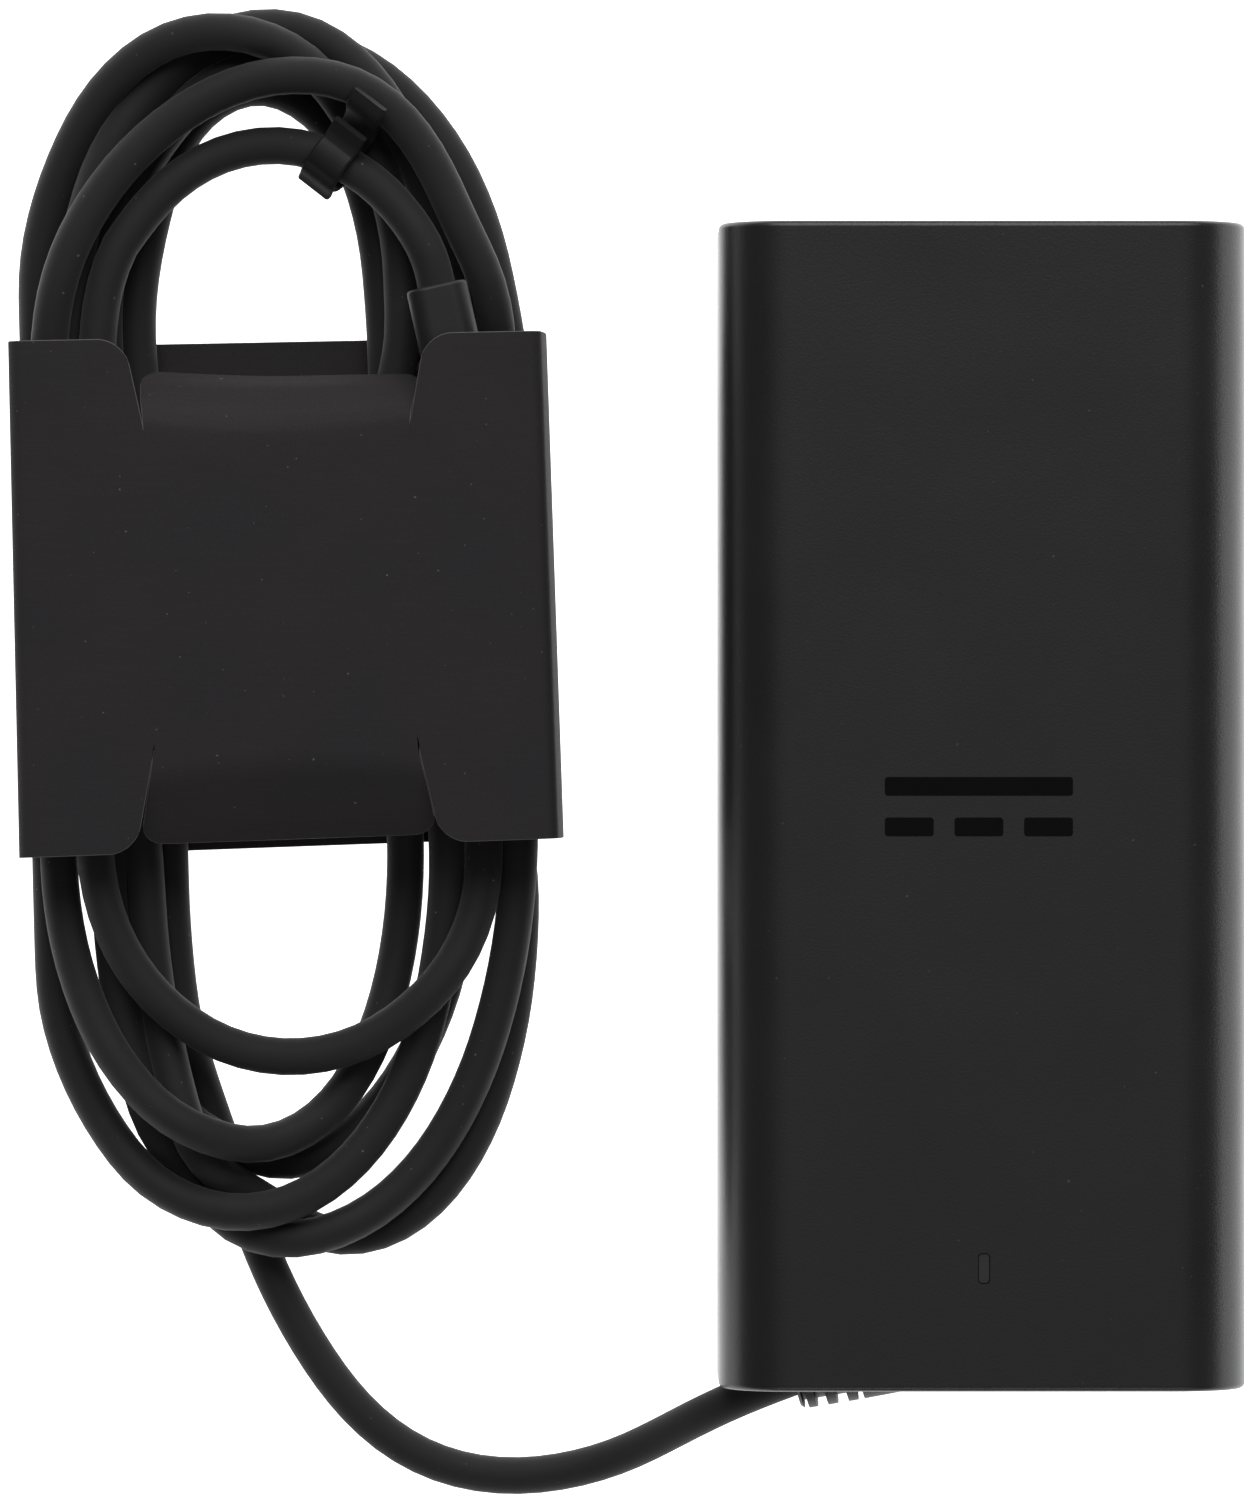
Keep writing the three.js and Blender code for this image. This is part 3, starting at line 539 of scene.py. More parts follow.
def jacket_look():
    """The cord's jacket: satin, very slightly wavy, with some dust caught on it."""
    look = Look("cord jacket", (33, 33, 34), 0.72, specular=0.14)
    look.shader.inputs["Sheen Weight"].default_value = 0.1
    look.shader.inputs["Sheen Roughness"].default_value = 0.5
    look.relief(look.noise(0.3, 2), 0.008)
    look.relief(look.noise(3.5, 1), 0.03)
    uneven = look.noise(6, 3)
    look.rough(uneven, 0.66, 0.78)
    look.tint(look.math("MULTIPLY", uneven, 0.4), (37, 37, 38))
    look.tint(look.ramp(look.noise(0.45, 0, 0.3), 0.86, 0.88, 0.0, 0.5), (110, 108, 103))
    return look.material


LOOKS = {
    "case": case_look(),
    "cord": jacket_look(),
    "soft_rubber": moulded("soft rubber", (24, 24, 25), 0.5, 0.4, 0.01, (3, 3, 3), 0.3),
    "tie_rubber": moulded("tie rubber", (20, 20, 21), 0.6, 0.4, 0.015, (3, 3, 3), 0.25),
    "sleeve_card": card_look(),
    "card_edge": moulded("card edge", (78, 76, 76), 0.85, 0.2, 0.03),
    "gloss": moulded("gloss inlay", (5, 5, 6), 0.16, 3.0, 0.004, (2, 2, 2), 0.1),
    "light_window": moulded("light window", (34, 34, 35), 0.25, 0.5, 0.004),
    "label": moulded("label film", (48, 48, 50), 0.5, 0.3, 0.006),
    "inlet": moulded("inlet plastic", (26, 26, 27), 0.48, 0.25, 0.01),
    "plated_metal": metal("plated metal", (200, 202, 205), 0.28),
    "board": moulded("board laminate", (31, 74, 44), 0.5, 0.6, 0.02, (10, 22, 12)),
    "ferrite": moulded("ferrite", (43, 44, 48), 0.7, 0.3, 0.03),
    "copper": metal("copper", (186, 112, 70), 0.35),
    "can_sleeve": moulded("can sleeve", (38, 50, 74), 0.42, 0.8, 0.01),
    "film_yellow": moulded("capacitor case", (201, 164, 58), 0.48, 0.5, 0.01),
    "ceramic_blue": moulded("ceramic coating", (58, 111, 168), 0.45, 0.5, 0.02),
    "chip": moulded("chip moulding", (24, 24, 26), 0.6, 0.25, 0.02),
    "aluminium": metal("aluminium", (175, 178, 183), 0.38),
    "film_grey": moulded("insulation film", (90, 95, 99), 0.4, 0.6, 0.006),
    "tape": moulded("winding tape", (208, 176, 48), 0.46, 0.6, 0.01),
    "wire_red": moulded("red wire", (154, 31, 31), 0.45, 0.4, 0.006),
    "wire_black": moulded("black wire", (32, 32, 34), 0.45, 0.4, 0.006),
    "led": moulded("light emitter", (232, 236, 239), 0.3, 0.5, 0.004),
}

NODE_SLOTS = {
    "case": ["top_shell", "bottom_shell"],
    "label": ["rating_plate"],
    "light_window": ["light_window"],
    "led": ["status_led"],
    "inlet": ["inlet_housing"],
    "plated_metal": ["inlet_pin_line", "inlet_pin_neutral", "inlet_pin_earth", "plug_shell"],
    "board": ["main_board", "output_board"],
    "chip": ["fuse", "bridge_rectifier", "primary_switch", "rectifier_switch", "plug_liner"],
    "film_yellow": ["x_capacitor"],
    "ferrite": ["choke_core", "transformer_core"],
    "copper": ["choke_winding", "secondary_heat_spreader"],
    "can_sleeve": ["bulk_capacitor_1", "bulk_capacitor_2"],
    "tape": ["transformer_winding"],
    "ceramic_blue": ["y_capacitor"],
    "aluminium": ["output_capacitor_1", "output_capacitor_2", "primary_heat_spreader"],
    "film_grey": ["insulation_sheet"],
    "soft_rubber": ["cord_strain_relief", "plug_boot", "cord_tie"],
    "wire_red": ["output_wire_positive"],
    "wire_black": ["output_wire_return"],
    "cord": ["cord_lead", "cord_coil"],
    "sleeve_card": ["cable_sleeve"],
}
for slot, names in NODE_SLOTS.items():
    for name in names:
        nodes[name].data.materials.clear()
        nodes[name].data.materials.append(LOOKS[slot])
cord.data.materials.append(LOOKS["cord"])

# ---- Case ---------------------------------------------------------------------------------------

BRICK_LENGTH = 112.8
BRICK_WIDTH = 51.0
BRICK_HEIGHT = 28.0
SIDE_RADIUS = 7.0
END_RADIUS = 0.6
WALL = 2.2
SEAM = 14.0
SEAM_GROOVE = 0.16
LIGHT_Y = -44.5


def rounded_rectangle(width, height, radius, arc=8, centre=(0.0, 0.0)):
    """An outline with its corners rounded off in arc steps each."""
    points = []
    for corner in range(4):
        across = (1, -1, -1, 1)[corner] * (width / 2 - radius)
        up = (1, 1, -1, -1)[corner] * (height / 2 - radius)
        for step in range(arc + 1):
            angle = math.pi / 2 * (corner + step / arc)
            a = centre[0] + across + radius * math.cos(angle)
            b = centre[1] + up + radius * math.sin(angle)
            points.append((a, b))
    return points


def brick_body(name, inset, end_radius, arc=14, end_steps=6):
    """The brick's outer form, or the same form drawn in by an inset."""
    width, height = BRICK_WIDTH - 2 * inset, BRICK_HEIGHT - 2 * inset
    half = BRICK_LENGTH / 2 - inset
    stations = [
        (-half + end_radius * (1 - math.cos(a)), end_radius * (1 - math.sin(a)))
        for a in np.linspace(0, math.pi / 2, end_steps + 1)
    ]
    stations += [(-y, shrink) for y, shrink in stations[::-1]]
    points = []
    for y, shrink in stations:
        radius = SIDE_RADIUS - inset - shrink
        outline = rounded_rectangle(width - 2 * shrink, height - 2 * shrink, radius, arc)
        points += [(x, y, z + SEAM) for x, z in outline]
    return outward(new_piece(name, points, ring_faces(len(stations), 4 * (arc + 1))))


def outward(piece):
    """Joins stacked points and turns every face outwards."""
    solid = bmesh.new()
    solid.from_mesh(piece.data)
    bmesh.ops.remove_doubles(solid, verts=solid.verts, dist=1e-7)
    bmesh.ops.recalc_face_normals(solid, faces=solid.faces)
    solid.to_mesh(piece.data)
    solid.free()
    return piece


def prism(name, outline, low, high, axis="Z"):
    """A flat outline run along an axis: X and Y for an upright one, X and Z for one along Y."""
    if axis == "Z":
        points = [(x, y, low) for x, y in outline] + [(x, y, high) for x, y in outline]
    else:
        points = [(x, low, z) for x, z in outline] + [(x, high, z) for x, z in outline]
    return outward(new_piece(name, points, ring_faces(2, len(outline))))


def block(name, low, high):
    """A box between two opposite corners."""
    (x0, y0, z0), (x1, y1, z1) = low, high
    return prism(name, [(x0, y0), (x1, y0), (x1, y1), (x0, y1)], z0, z1)


def combine(piece, operation, *others):
    """Cuts others from a piece, joins them or keeps what they share, and removes them."""
    for other in others:
        modifier = piece.modifiers.new("combine", "BOOLEAN")
        modifier.operation = operation
        modifier.solver = "EXACT"
        modifier.object = other
        bpy.context.view_layer.update()
        evaluated = piece.evaluated_get(bpy.context.evaluated_depsgraph_get())
        shape = bpy.data.meshes.new_from_object(evaluated)
        piece.modifiers.clear()
        old = piece.data
        piece.data = shape
        bpy.data.meshes.remove(old)
        bpy.data.objects.remove(other)
    return piece


def clone(piece, name):
    copy = bpy.data.objects.new(name, piece.data.copy())
    scene.collection.objects.link(copy)
    return copy


def finished(piece, body, slot, look=None, angle=35.0, weighted=True):
    """Sets a piece's shading, its material when it has none (the look given, else the slot's look) and
    the body it rides on.
    """
    if not piece.data.materials:
        piece.data.materials.append(LOOKS[look or slot])
    soften(piece, angle)
    if weighted:
        modifier = piece.modifiers.new("even shading", "WEIGHTED_NORMAL")
        modifier.keep_sharp = True
    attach(piece, body)
    return piece


# The corner scooped out for the strain relief, and the wall left round it, as outlines from above.
SCOOP_LOW, SCOOP_HIGH = 9.2, 18.8
SCOOP_WALL_THICK = 1.8
SCOOP = [(3.4, -60), (3.4, -46.6), (-3, -46.9), (-18, -51), (-24.6, -55.9), (-24.6, -60)]
SCOOP_WALL = [(5.4, -57), (5.4, -44.6), (-3.4, -44.9), (-19, -49.1), (-25, -53.9), (-25, -57)]
NECK_HOLE = 3.5
INLET_WIDTH = 20.8
INLET_HEIGHT = 15.6
LIGHT_SLOT = (1.16, 2.96, 0.4)  # width, length and corner radius
LIGHT_STEP = (4.6, 6.6, 1)
LIGHT_LENS = (1.0, 2.8, 0.34)
LIGHT_FLANGE = (4, 6, 0.8)
LABEL_RECESS = (38, 62, 2)
LABEL_DEPTH = 0.8
LIP_INSET = 0.55
LIP_INNER = 1.5


def whole_case():
    """The hollow case in one, open for the inlet and at the scoop."""
    body = brick_body("case", 0, END_RADIUS)
    wall_low, wall_high = SCOOP_LOW - SCOOP_WALL_THICK, SCOOP_HIGH + SCOOP_WALL_THICK
    wall = prism("scoop wall", SCOOP_WALL, wall_low, wall_high)
    combine(wall, "INTERSECT", clone(body, "body"))
    combine(body, "DIFFERENCE", brick_body("hollow", WALL, 0.4, 8, 2))
    combine(body, "UNION", wall)
    neck = tube("neck hole", [(1, -50.4, SEAM), (7.5, -50.4, SEAM)], NECK_HOLE, 32)
    mouth = rounded_rectangle(INLET_WIDTH, INLET_HEIGHT, 1.2, 6, (0, SEAM))
    inlet = prism("inlet hole", mouth, 50, 60, "Y")
    scoop = prism("scoop", SCOOP, SCOOP_LOW, SCOOP_HIGH)
    return combine(body, "DIFFERENCE", scoop, outward(neck), inlet)


def case_shells():
    """The case parted at the seam, and the lip that locates one shell in the other."""
    top = whole_case()
    bottom = clone(top, "case_lower")
    top.name = "case_upper"
    combine(top, "DIFFERENCE", block("below", (-40, -70, -5), (40, 70, SEAM + SEAM_GROOVE)))
    slot = prism("light slot", rounded_rectangle(*LIGHT_SLOT, 6, (0, LIGHT_Y)), 20, 40)
    under_slot = rounded_rectangle(*LIGHT_STEP, 4, (0, LIGHT_Y))
    step = prism("light step", under_slot, 20, BRICK_HEIGHT - 1.2)
    combine(top, "DIFFERENCE", slot, step)
    combine(bottom, "DIFFERENCE", block("above", (-40, -70, SEAM - SEAM_GROOVE), (40, 70, 40)))
    lip = brick_body("lip", LIP_INSET, 0.5, 10, 3)
    combine(lip, "DIFFERENCE", brick_body("lip hollow", LIP_INNER, 0.4, 8, 2))
    band = block("band", (-40, -70, SEAM - 1), (40, 70, SEAM + 1.2))
    combine(lip, "INTERSECT", band)
    stops = block("stop at scoop", (-26, -70, 0), (6.5, -44, 28))
    inlet_stop = block("stop at inlet", (-10.6, 50, 5), (10.6, 70, 23))
    combine(lip, "DIFFERENCE", stops, inlet_stop)
    lip.name = "case_lip"
    recess = prism("label recess", rounded_rectangle(*LABEL_RECESS, 6), -1, LABEL_DEPTH)
    combine(bottom, "DIFFERENCE", recess)
    return top, bottom, lip


top_shell, bottom_shell, lip = case_shells()
for shell in (top_shell, bottom_shell, lip):
    finished(shell, "adapter", "case")
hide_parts("top_shell")
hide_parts("bottom_shell")


MARK_X = -0.5
BAR_Y = 1.9
BAR = (18.1, 1.8, 0.3)  # width, height and corner radius
DASH_Y = -2.0
DASH = (4.7, 1.8, 0.3)
DASH_STEP = 6.7


def direct_current_mark():
    """A long bar over three dashes, the general sign for direct current, in gloss inlay."""
    low, high = BRICK_HEIGHT - 0.3, BRICK_HEIGHT + 0.03
    bar = prism("polarity_mark", rounded_rectangle(*BAR, 4, (MARK_X, BAR_Y)), low, high)
    for x in (MARK_X - DASH_STEP, MARK_X, MARK_X + DASH_STEP):
        dash = prism("dash", rounded_rectangle(*DASH, 4, (x, DASH_Y)), low, high)
        combine(bar, "UNION", dash)
    return bar


finished(direct_current_mark(), "adapter", "case", "gloss")

lens_outline = rounded_rectangle(*LIGHT_LENS, 6, (0, LIGHT_Y))
lens = prism("light_lens", lens_outline, 25.5, BRICK_HEIGHT - 0.2)
flange_outline = rounded_rectangle(*LIGHT_FLANGE, 4, (0, LIGHT_Y))
combine(lens, "UNION", prism("flange", flange_outline, 25.2, 26.5))
finished(lens, "adapter", "light_window")
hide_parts("light_window")

# ---- Plug ---------------------------------------------------------------------------------------


def at_plug(piece):
    """Turns a piece made along -Y from the plug's rear to its place."""
    cosine, sine = math.cos(PLUG_TURN), math.sin(PLUG_TURN)
    for vertex in piece.data.vertices:
        x, y, z = vertex.co / MM
        turned_x = PLUG_REAR[0] + x * cosine - y * sine
        turned_y = PLUG_REAR[1] + x * sine + y * cosine
        vertex.co = Vector((turned_x, turned_y, PLUG_MIDDLE + z)) * MM
    return piece


def lofted(name, stations, width, height, radius, arc=8):
    """A rounded section run along Y; stations are (y, inset)."""
    points = []
    for y, inset in stations:
        corner = max(0.05, radius - inset)
        outline = rounded_rectangle(width - 2 * inset, height - 2 * inset, corner, arc)
        points += [(x, y, z) for x, z in outline]
    return outward(new_piece(name, points, ring_faces(len(stations), 4 * (arc + 1))))


def rounded_end(y, radius, direction, steps=4):
    """Stations that round off an end: direction is 1 for the rear and -1 for the front."""
    return [
        (y - direction * radius * (1 - math.cos(a)), radius * (1 - math.sin(a)))
        for a in np.linspace(0, math.pi / 2, steps + 1)
    ]


SHELL_WIDTH = 2.56
SHELL_HEIGHT = 8.34
SHELL_LENGTH = 6.65
SHELL_RADIUS = 1.27
SHELL_WALL = 0.3
MOUTH_GAP = 0.15


def plug_boot():
    """The plug's rubber body, open in front for the metal shell."""
    stations = rounded_end(0, 0.35, 1) + [(-3, 0)]
    stations += rounded_end(-PLUG_LENGTH, 0.5, -1)[::-1]
    boot = lofted("cord_plug", stations, PLUG_WIDTH, PLUG_HEIGHT, 1.9, 10)
    stations = [(-PLUG_LENGTH - 1, 0), (-PLUG_LENGTH + 5, 0)]
    width = SHELL_WIDTH + 2 * MOUTH_GAP
    height = SHELL_HEIGHT + 2 * MOUTH_GAP
    mouth = lofted("mouth", stations, width, height, 1.4)
    return at_plug(combine(boot, "DIFFERENCE", mouth))


def plug_shell():
    """The plug's open metal shell."""
    front = -PLUG_LENGTH - SHELL_LENGTH
    rear = -PLUG_LENGTH + 4.7
    stations = [(rear, 0)] + rounded_end(front, 0.12, -1)[::-1]
    outer = lofted("plug_tip", stations, SHELL_WIDTH, SHELL_HEIGHT, SHELL_RADIUS, 10)
    stations = [(rear - 1, 0), (front - 1, 0)]
    width = SHELL_WIDTH - 2 * SHELL_WALL
    height = SHELL_HEIGHT - 2 * SHELL_WALL
    inner = lofted("bore", stations, width, height, SHELL_RADIUS - SHELL_WALL)
    return at_plug(combine(outer, "DIFFERENCE", inner))


boot = finished(plug_boot(), "adapter", "soft_rubber")
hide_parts("plug_boot")
tip = finished(plug_shell(), "adapter", "plated_metal")
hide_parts("plug_shell")

# ---- Cord tie -----------------------------------------------------------------------------------

TIE_PLACE = np.array([-62.3, 62.8])
TIE_WIDTH = 3.8
TIE_SKEW = math.radians(13)  # the strap doesn't cross the cord quite squarely
STRAP = 0.85  # its thickness
STRAP_EDGE = 0.18
LAST_TURN = 70  # points of the cord's route, back from the plug, in which the tie is looked for


def strap(name, path):
    """A flat rubber strap along a path of (across, up), as wide as the tie."""
    path = smooth_route([(u, 0, w) for u, w in path], 0.15)
    forward = np.gradient(path, axis=0)
    forward /= np.linalg.norm(forward, axis=1)[:, None]
    up = np.cross(forward, (0, 1, 0)) * -1
    half, thick = TIE_WIDTH / 2, STRAP / 2
    inner_half, inner_thick = half - STRAP_EDGE, thick - STRAP_EDGE
    section = [
        (inner_half, thick), (half, inner_thick), (half, -inner_thick), (inner_half, -thick),
        (-inner_half, -thick), (-half, -inner_thick), (-half, inner_thick), (-inner_half, thick),
    ]
    points = []
    for place, lift in zip(path, up):
        points += [place + np.array([0, a, 0]) + lift * b for a, b in section]
    return outward(new_piece(name, points, ring_faces(len(path), len(section))))


def at_tie(piece):
    """Puts a piece made across X round the innermost turn, following the cord's own slope."""
    last_turn = route[-LAST_TURN:]
    nearest = int(np.argmin(np.linalg.norm(last_turn[:, :2] - TIE_PLACE, axis=1)))
    centre = last_turn[nearest]
    along = last_turn[nearest + 1] - last_turn[nearest - 1]
    along /= np.linalg.norm(along)
    across = np.cross((0, 0, 1), along)
    across /= np.linalg.norm(across)
    up = np.cross(along, across)
    cosine, sine = math.cos(TIE_SKEW), math.sin(TIE_SKEW)
    across, along = across * cosine + along * sine, along * cosine - across * sine
    for vertex in piece.data.vertices:
        u, v, w = vertex.co / MM
        vertex.co = Vector(centre + across * u + along * v + up * w) * MM
    return piece


def round_cord(start, end, count):
    """Places on an arc that holds the strap's middle just off the cord."""
    reach = CORD_RADIUS + STRAP / 2 + 0.05
    return [(reach * math.cos(a), reach * math.sin(a)) for a in np.linspace(start, end, count)]


def cord_tie():
    """A strap over the cord and a longer one under it, whose end stands up outside the turn."""
    over = [(-3.4, -0.1), (-2.9, 0.5), (-2.3, 1.4)]
    over += round_cord(2.3, 1.1, 6)
    over += [(2.0, 2.3), (2.7, 2.7), (3.3, 3.1)]
    under = round_cord(math.pi - 0.45, math.pi * 2 - 0.6, 12)
    under += [(3.2, -0.6), (4.3, 0.6), (4.85, 1.8), (5.1, 2.8), (5.7, 3.7), (6.8, 4.2)]
    tie = strap("cable_tie", over)
    combine(tie, "UNION", strap("under", under))
    return outward(at_tie(tie))


tie = finished(cord_tie(), "adapter", "soft_rubber", "tie_rubber", angle=40)
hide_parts("cord_tie")

# ---- Strain relief ------------------------------------------------------------------------------

RELIEF_ROUTE = [
    (4.4, -50.4, 14), (0, -51.4, 14), (-5, -52.9, 14), (-11.5, -54.4, 13.9), (-17.9, -55.7, 13.4),
]
SLOT_DEPTH = 0.85
SLOTS = ((0.55, 0.16), (2.18, 0.5), (4.16, 0.5), (5.9, 0.25))  # distance from the tip, half width
BRIDGE = 0.93  # the slots leave a bridge where the sine of the angle round is greater


def strain_relief():
    """A tapered sleeve with slots across it, between bridges above and below."""
    centre = smooth_route(RELIEF_ROUTE, 0.1)
    along = lengths_along(centre)
    total = along[-1]
    sides = 48
    angle = np.linspace(0, 2 * math.pi, sides, endpoint=False)
    outer = np.interp(along, [0, 1.2, 3, total - 0.4, total], [3.4, 4.0, 3.9, 3.35, 3.0])
    radii = np.repeat(outer[:, None], sides, axis=1)
    depth = np.where(np.abs(np.sin(angle)) > BRIDGE, 0.0, SLOT_DEPTH)
    for from_tip, half_width in SLOTS:
        within = np.abs(along - (total - from_tip)) < half_width
        radii[within] -= depth[None, :]
    return tube("cord_relief", centre, radii, sides)


relief = finished(strain_relief(), "adapter", "soft_rubber", angle=30)
combine(relief, "UNION", outward(tube("neck", [(1.7, -50.5, SEAM), (8.3, -50.4, SEAM)], 3.2, 32)))
combine(relief, "UNION", block("flange", (5.7, -53.4, SEAM - 4.2), (8.7, -45.6, SEAM + 4.2)))
soften(relief, 30)
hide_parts("cord_strain_relief")

# ---- Sleeve -------------------------------------------------------------------------------------

SLEEVE_RADIUS = 1.3
SLEEVE_TAPER = 0.006  # the card is a little wider at the end nearer the cord's lead
SLEEVE_SKEW = 0.009  # and a little shorter along the side nearer the brick
PANEL_TOP = SLEEVE_HEIGHT - 0.5  # the front panel where it meets the long edges
PANEL_SWELL = 0.5
LEFT_BOW = 0.25  # how far the upright walls bow outwards
RIGHT_BOW = 0.45
TAB_CORNER = 2.6

TONGUE_ROOT = 16.6
TONGUE_HALF = 13.1
TONGUE_LENGTH = SLEEVE_HALF_LENGTH - TONGUE_ROOT
TONGUE_CORNER = 2.2
SLIT_SLANT = 0.2
NEAR_FLARE = 0.17  # how much wider a tongue grows on each side, for each millimetre out
FAR_FLARE = 0.1
CREASE_BOW = 1.2  # the creases bow towards the middle of the panel
FAR_CREASE = 1.6  # length of card over which a tongue bends down
NEAR_CREASE = 2.2
BEND_FAR = math.radians(60)
BEND_FAR_LESS = math.radians(7)  # taken off at the far tongue's left side
BEND_NEAR = math.radians(28)
TONGUE_LEAN = 0.5  # how far the far tongue's tip lies over to the right

ROOT_ROWS = np.linspace(-TONGUE_ROOT, TONGUE_ROOT, 25)
END_SHARES = np.linspace(0, 1, 15)[1:]
TAB_SHARES = (0, 0.012, 0.03, 0.06, 0.1, 0.15, 0.2, 0.25, 0.32, 0.45, 0.6, 0.75, 0.9, 1)
TONGUE_LEFT_SHARES = (0, 0.006, 0.014, 0.028, 0.045, 0.065, 0.09)
TONGUE_RIGHT_SHARES = (0.91, 0.935, 0.955, 0.972, 0.986, 0.994, 1)
TONGUE_SHARES = (*TONGUE_LEFT_SHARES, *np.linspace(0.13, 0.87, 19), *TONGUE_RIGHT_SHARES)


def slit_x(y):
    """Where the slit beside a tongue runs, as a distance from the panel's middle."""
    return TONGUE_HALF + SLIT_SLANT * max(0.0, abs(y) - TONGUE_ROOT)


def corner_drop(distance, radius):
    """How far a rounded corner has fallen back at a distance from the side."""
    if distance >= radius:
        return 0.0
    return radius - math.sqrt(radius**2 - (radius - distance) ** 2)


class Sheet:
    """Rows and columns of places joined into one surface."""

    def __init__(self):
        self.points = []
        self.faces = []

    def add(self, columns):
        start = len(self.points)
        rows = len(columns[0])
        for column in columns:
            self.points.extend(column)
        for c in range(len(columns) - 1):
            for r in range(rows - 1):
                a = start + c * rows + r
                self.faces.append((a, a + rows, a + rows + 1, a + 1))


def panel_height(x, y):
    """The front panel swells a little over the hank."""
    return PANEL_TOP + PANEL_SWELL * max(0.0, 1 - (x / 25) ** 2) * max(0.0, 1 - (y / 27) ** 2)


def row_places(edge):
    """The rows' places along Y, out to an edge at both ends."""
    ends = [TONGUE_ROOT + (edge - TONGUE_ROOT) * share for share in END_SHARES]
    return [-y for y in reversed(ends)] + list(ROOT_ROWS) + ends


def tab_columns(side):
    """The front panel from a slit out to the rounded long edge."""
    far = SLEEVE_HALF_WIDTH - SLEEVE_RADIUS
    columns = []
    for share in TAB_SHARES:
        distance = share * (far - slit_x(SLEEVE_HALF_LENGTH))
        edge = SLEEVE_HALF_LENGTH - corner_drop(distance, TAB_CORNER)
        column = []
        for y in row_places(edge):
            x = slit_x(y) + share * (far - slit_x(y))
            column.append((side * x, y, panel_height(x, y)))
        columns.append(column)
    return columns


def tongue_place(x, reach, end, bend):
    """A place on a tongue, a reach past its root, after bending down round a soft crease."""
    crease = FAR_CREASE if end > 0 else NEAR_CREASE
    plan, drop = 0.0, 0.0
    steps = 12
    for k in range(steps):
        done = (k + 0.5) / steps * reach
        angle = bend * min(1.0, done / crease)
        plan += math.cos(angle) * reach / steps
        drop += math.sin(angle) * reach / steps
    bow = CREASE_BOW * (1 - (x / TONGUE_HALF) ** 2)
    y = TONGUE_ROOT + plan
    flat = panel_height(x, end * TONGUE_ROOT)
    return (x, end * (y - bow * max(0.0, 1 - reach / 6)), flat - drop)


def far_bend(x):
    """The tongue at the far end is bent down less at its left side."""
    return BEND_FAR - BEND_FAR_LESS * max(0.0, -x / TONGUE_HALF) ** 1.5


def tongue_columns():
    """The front panel between the slits, with the tongues at both of its ends."""
    columns = []
    for share in TONGUE_SHARES:
        across = 2 * share - 1
        side_distance = (1 - abs(across)) * TONGUE_HALF
        length = TONGUE_LENGTH - corner_drop(side_distance, TONGUE_CORNER)
        column = []
        root_x = across * TONGUE_HALF
        for out in END_SHARES[::-1]:
            reach = out * length
            x = across * (TONGUE_HALF + NEAR_FLARE * reach)
            column.append(tongue_place(x, reach, -1, BEND_NEAR))
        column += [(root_x, *root_place(root_x, y)) for y in ROOT_ROWS]
        for out in END_SHARES:
            reach = out * length
            x = across * (TONGUE_HALF + FAR_FLARE * reach)
            lean = TONGUE_LEAN * (reach / TONGUE_LENGTH) ** 2
            x, y, z = tongue_place(x, reach, 1, far_bend(x))
            column.append((x + lean, y, z))
        columns.append(column)
    return columns


def root_place(x, y):
    """Rows of the panel bow towards the middle where they near the crease."""
    bow = CREASE_BOW * (1 - (x / TONGUE_HALF) ** 2) * (abs(y) / TONGUE_ROOT) ** 6
    return (y - math.copysign(bow, y), panel_height(x, y))


def quarter_arc(centre_x, centre_z, start):
    return [
        (centre_x + SLEEVE_RADIUS * math.cos(a), centre_z + SLEEVE_RADIUS * math.sin(a))
        for a in np.linspace(start, start + math.pi / 2, 6)
    ]


def wall_line(x, bow, start, end):
    """An upright wall's section from one height to another, bowed sideways."""
    between = np.linspace(0, 1, 9)[1:-1]
    return [(x + bow * math.sin(math.pi * t), start + t * (end - start)) for t in between]


def wrap_outline():
    """The section of the card from the front panel's left edge, under the hank, to its right edge."""
    low, high = SLEEVE_RADIUS, PANEL_TOP - SLEEVE_RADIUS
    side = SLEEVE_HALF_WIDTH - SLEEVE_RADIUS
    outline = quarter_arc(-side, high, math.pi / 2)
    outline += wall_line(-SLEEVE_HALF_WIDTH, -LEFT_BOW, high, low)
    outline += quarter_arc(-side, low, math.pi)
    outline += [(x, 0.0) for x in np.linspace(-side, side, 21)[1:-1]]
    outline += quarter_arc(side, low, math.pi * 1.5)
    outline += wall_line(SLEEVE_HALF_WIDTH, RIGHT_BOW, low, high)
    outline += quarter_arc(side, high, 0)
    return outline


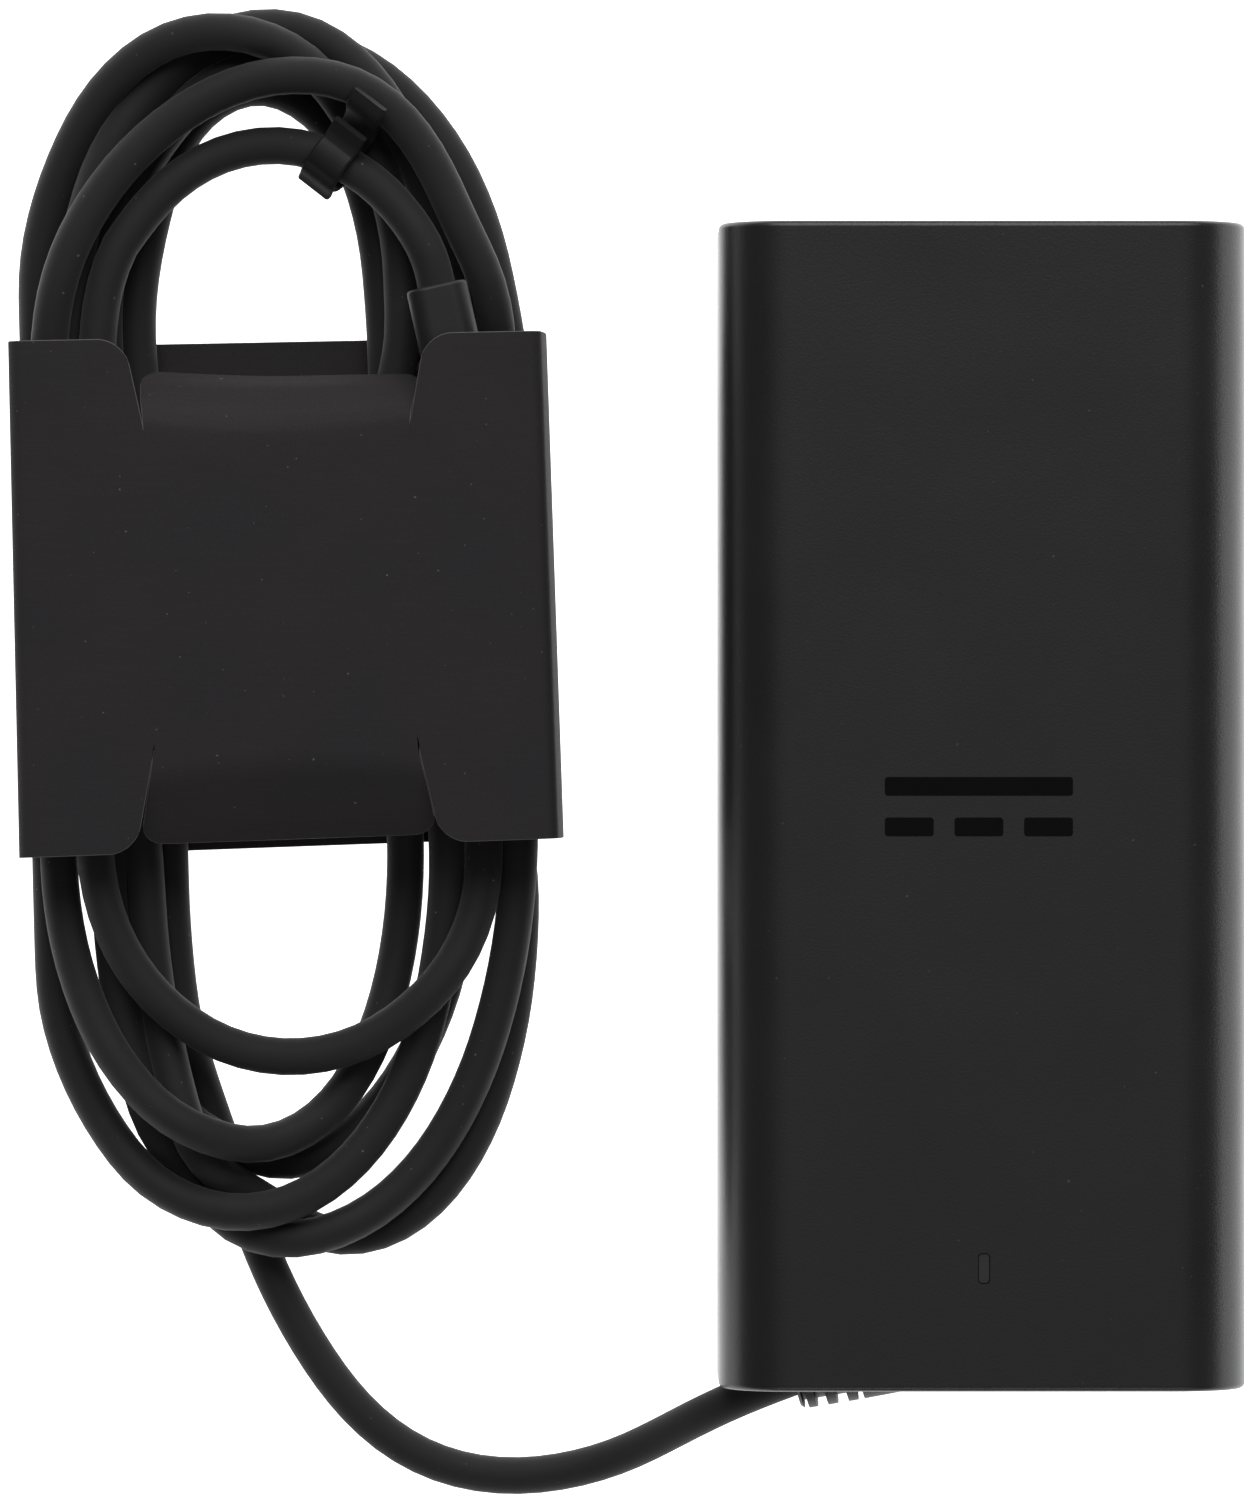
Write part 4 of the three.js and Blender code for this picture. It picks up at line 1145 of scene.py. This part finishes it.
def card_sleeve():
    """The card wrapped round the hank, slit at both ends for a tongue."""
    sheet = Sheet()
    rows = row_places(SLEEVE_HALF_LENGTH)
    sheet.add([[(x, y, z) for y in rows] for x, z in wrap_outline()])
    sheet.add(tab_columns(1)[::-1])
    sheet.add(tongue_columns()[::-1])
    sheet.add(tab_columns(-1))
    places = np.array(sheet.points, float)
    places[:, 0] *= 1 - SLEEVE_TAPER * places[:, 1] / SLEEVE_HALF_LENGTH
    places[:, 1] *= 1 - SLEEVE_SKEW * places[:, 0] / SLEEVE_HALF_WIDTH
    cosine, sine = math.cos(HANK_TURN), math.sin(HANK_TURN)
    turned = np.c_[
        HANK_CENTRE[0] + places[:, 0] * cosine - places[:, 1] * sine,
        HANK_CENTRE[1] + places[:, 0] * sine + places[:, 1] * cosine,
        places[:, 2],
    ]
    piece = new_piece("card_sleeve", turned, sheet.faces)
    solid = bmesh.new()
    solid.from_mesh(piece.data)
    bmesh.ops.remove_doubles(solid, verts=solid.verts, dist=2e-5)
    bmesh.ops.recalc_face_normals(solid, faces=solid.faces)
    solid.to_mesh(piece.data)
    solid.free()
    piece.data.materials.append(LOOKS["sleeve_card"])
    piece.data.materials.append(LOOKS["card_edge"])
    thickness = piece.modifiers.new("card", "SOLIDIFY")
    thickness.thickness = PAPER * MM
    thickness.offset = -1
    thickness.material_offset_rim = 1
    thickness.use_even_offset = True
    edges = piece.modifiers.new("cut edges", "BEVEL")
    edges.width = 0.11 * MM
    edges.segments = 1
    edges.limit_method = "ANGLE"
    edges.angle_limit = math.radians(60)
    edges.material = 1
    return piece


sleeve = finished(card_sleeve(), "sleeve", "sleeve_card", angle=50, weighted=False)
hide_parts("cable_sleeve")

# ---- Floor, lights and background ---------------------------------------------------------------


def flat_square(name, half, height):
    mesh = bpy.data.meshes.new(name)
    corners = [(-half, -half), (half, -half), (half, half), (-half, half)]
    mesh.from_pydata([(x, y, height) for x, y in corners], [], [(0, 1, 2, 3)])
    piece = bpy.data.objects.new(name, mesh)
    scene.collection.objects.link(piece)
    return piece


GLOW = 1.5
GLOW_NEAR = 0.2  # metres from the middle at which the glow starts to fade
GLOW_FAR = 0.45


def floor_look():
    """White paper lit from below round the part, fading to plain pale paper further out."""
    look = Look("floor paper", (236, 236, 236), 0.9)
    look.relief(look.noise(2.0, 2), 0.002)
    distance = look.tree.nodes.new("ShaderNodeVectorMath")
    distance.operation = "LENGTH"
    look.link(look.where, distance.inputs[0])
    glow = look.ramp(distance.outputs["Value"], GLOW_NEAR, GLOW_FAR, GLOW, 0.0)
    look.link(glow, look.shader.inputs["Emission Strength"])
    look.shader.inputs["Emission Color"].default_value = (1, 1, 1, 1)
    return look.material


floor = flat_square("floor", 4.0, -0.0002)
floor.data.materials.append(floor_look())


def area_light(name, place, target, size, power):
    data = bpy.data.lights.new(name, "AREA")
    data.shape = "RECTANGLE"
    data.size, data.size_y = size
    data.energy = power
    light = bpy.data.objects.new(name, data)
    light.location = place
    light.rotation_euler = (Vector(target) - Vector(place)).to_track_quat("-Z", "Y").to_euler()
    scene.collection.objects.link(light)
    return light


MIDDLE = (-0.03, 0, 0)
area_light("overhead", (0.05, 0.15, 1.5), MIDDLE, size=(1.3, 1.3), power=1.5)
area_light("far", (0.0, 1.2, 1.1), MIDDLE, size=(1.6, 1.3), power=28)
area_light("near", (0.0, -1.2, 0.9), MIDDLE, size=(1.2, 0.6), power=4)
area_light("right", (1.4, 0.0, 0.12), MIDDLE, size=(1.6, 0.3), power=5)

world = bpy.data.worlds.new("soft studio")
world.use_nodes = True
world.node_tree.nodes["Background"].inputs["Color"].default_value = (0.95, 0.96, 1, 1)
world.node_tree.nodes["Background"].inputs["Strength"].default_value = 0.12
scene.world = world
scene.view_settings.view_transform = "Standard"
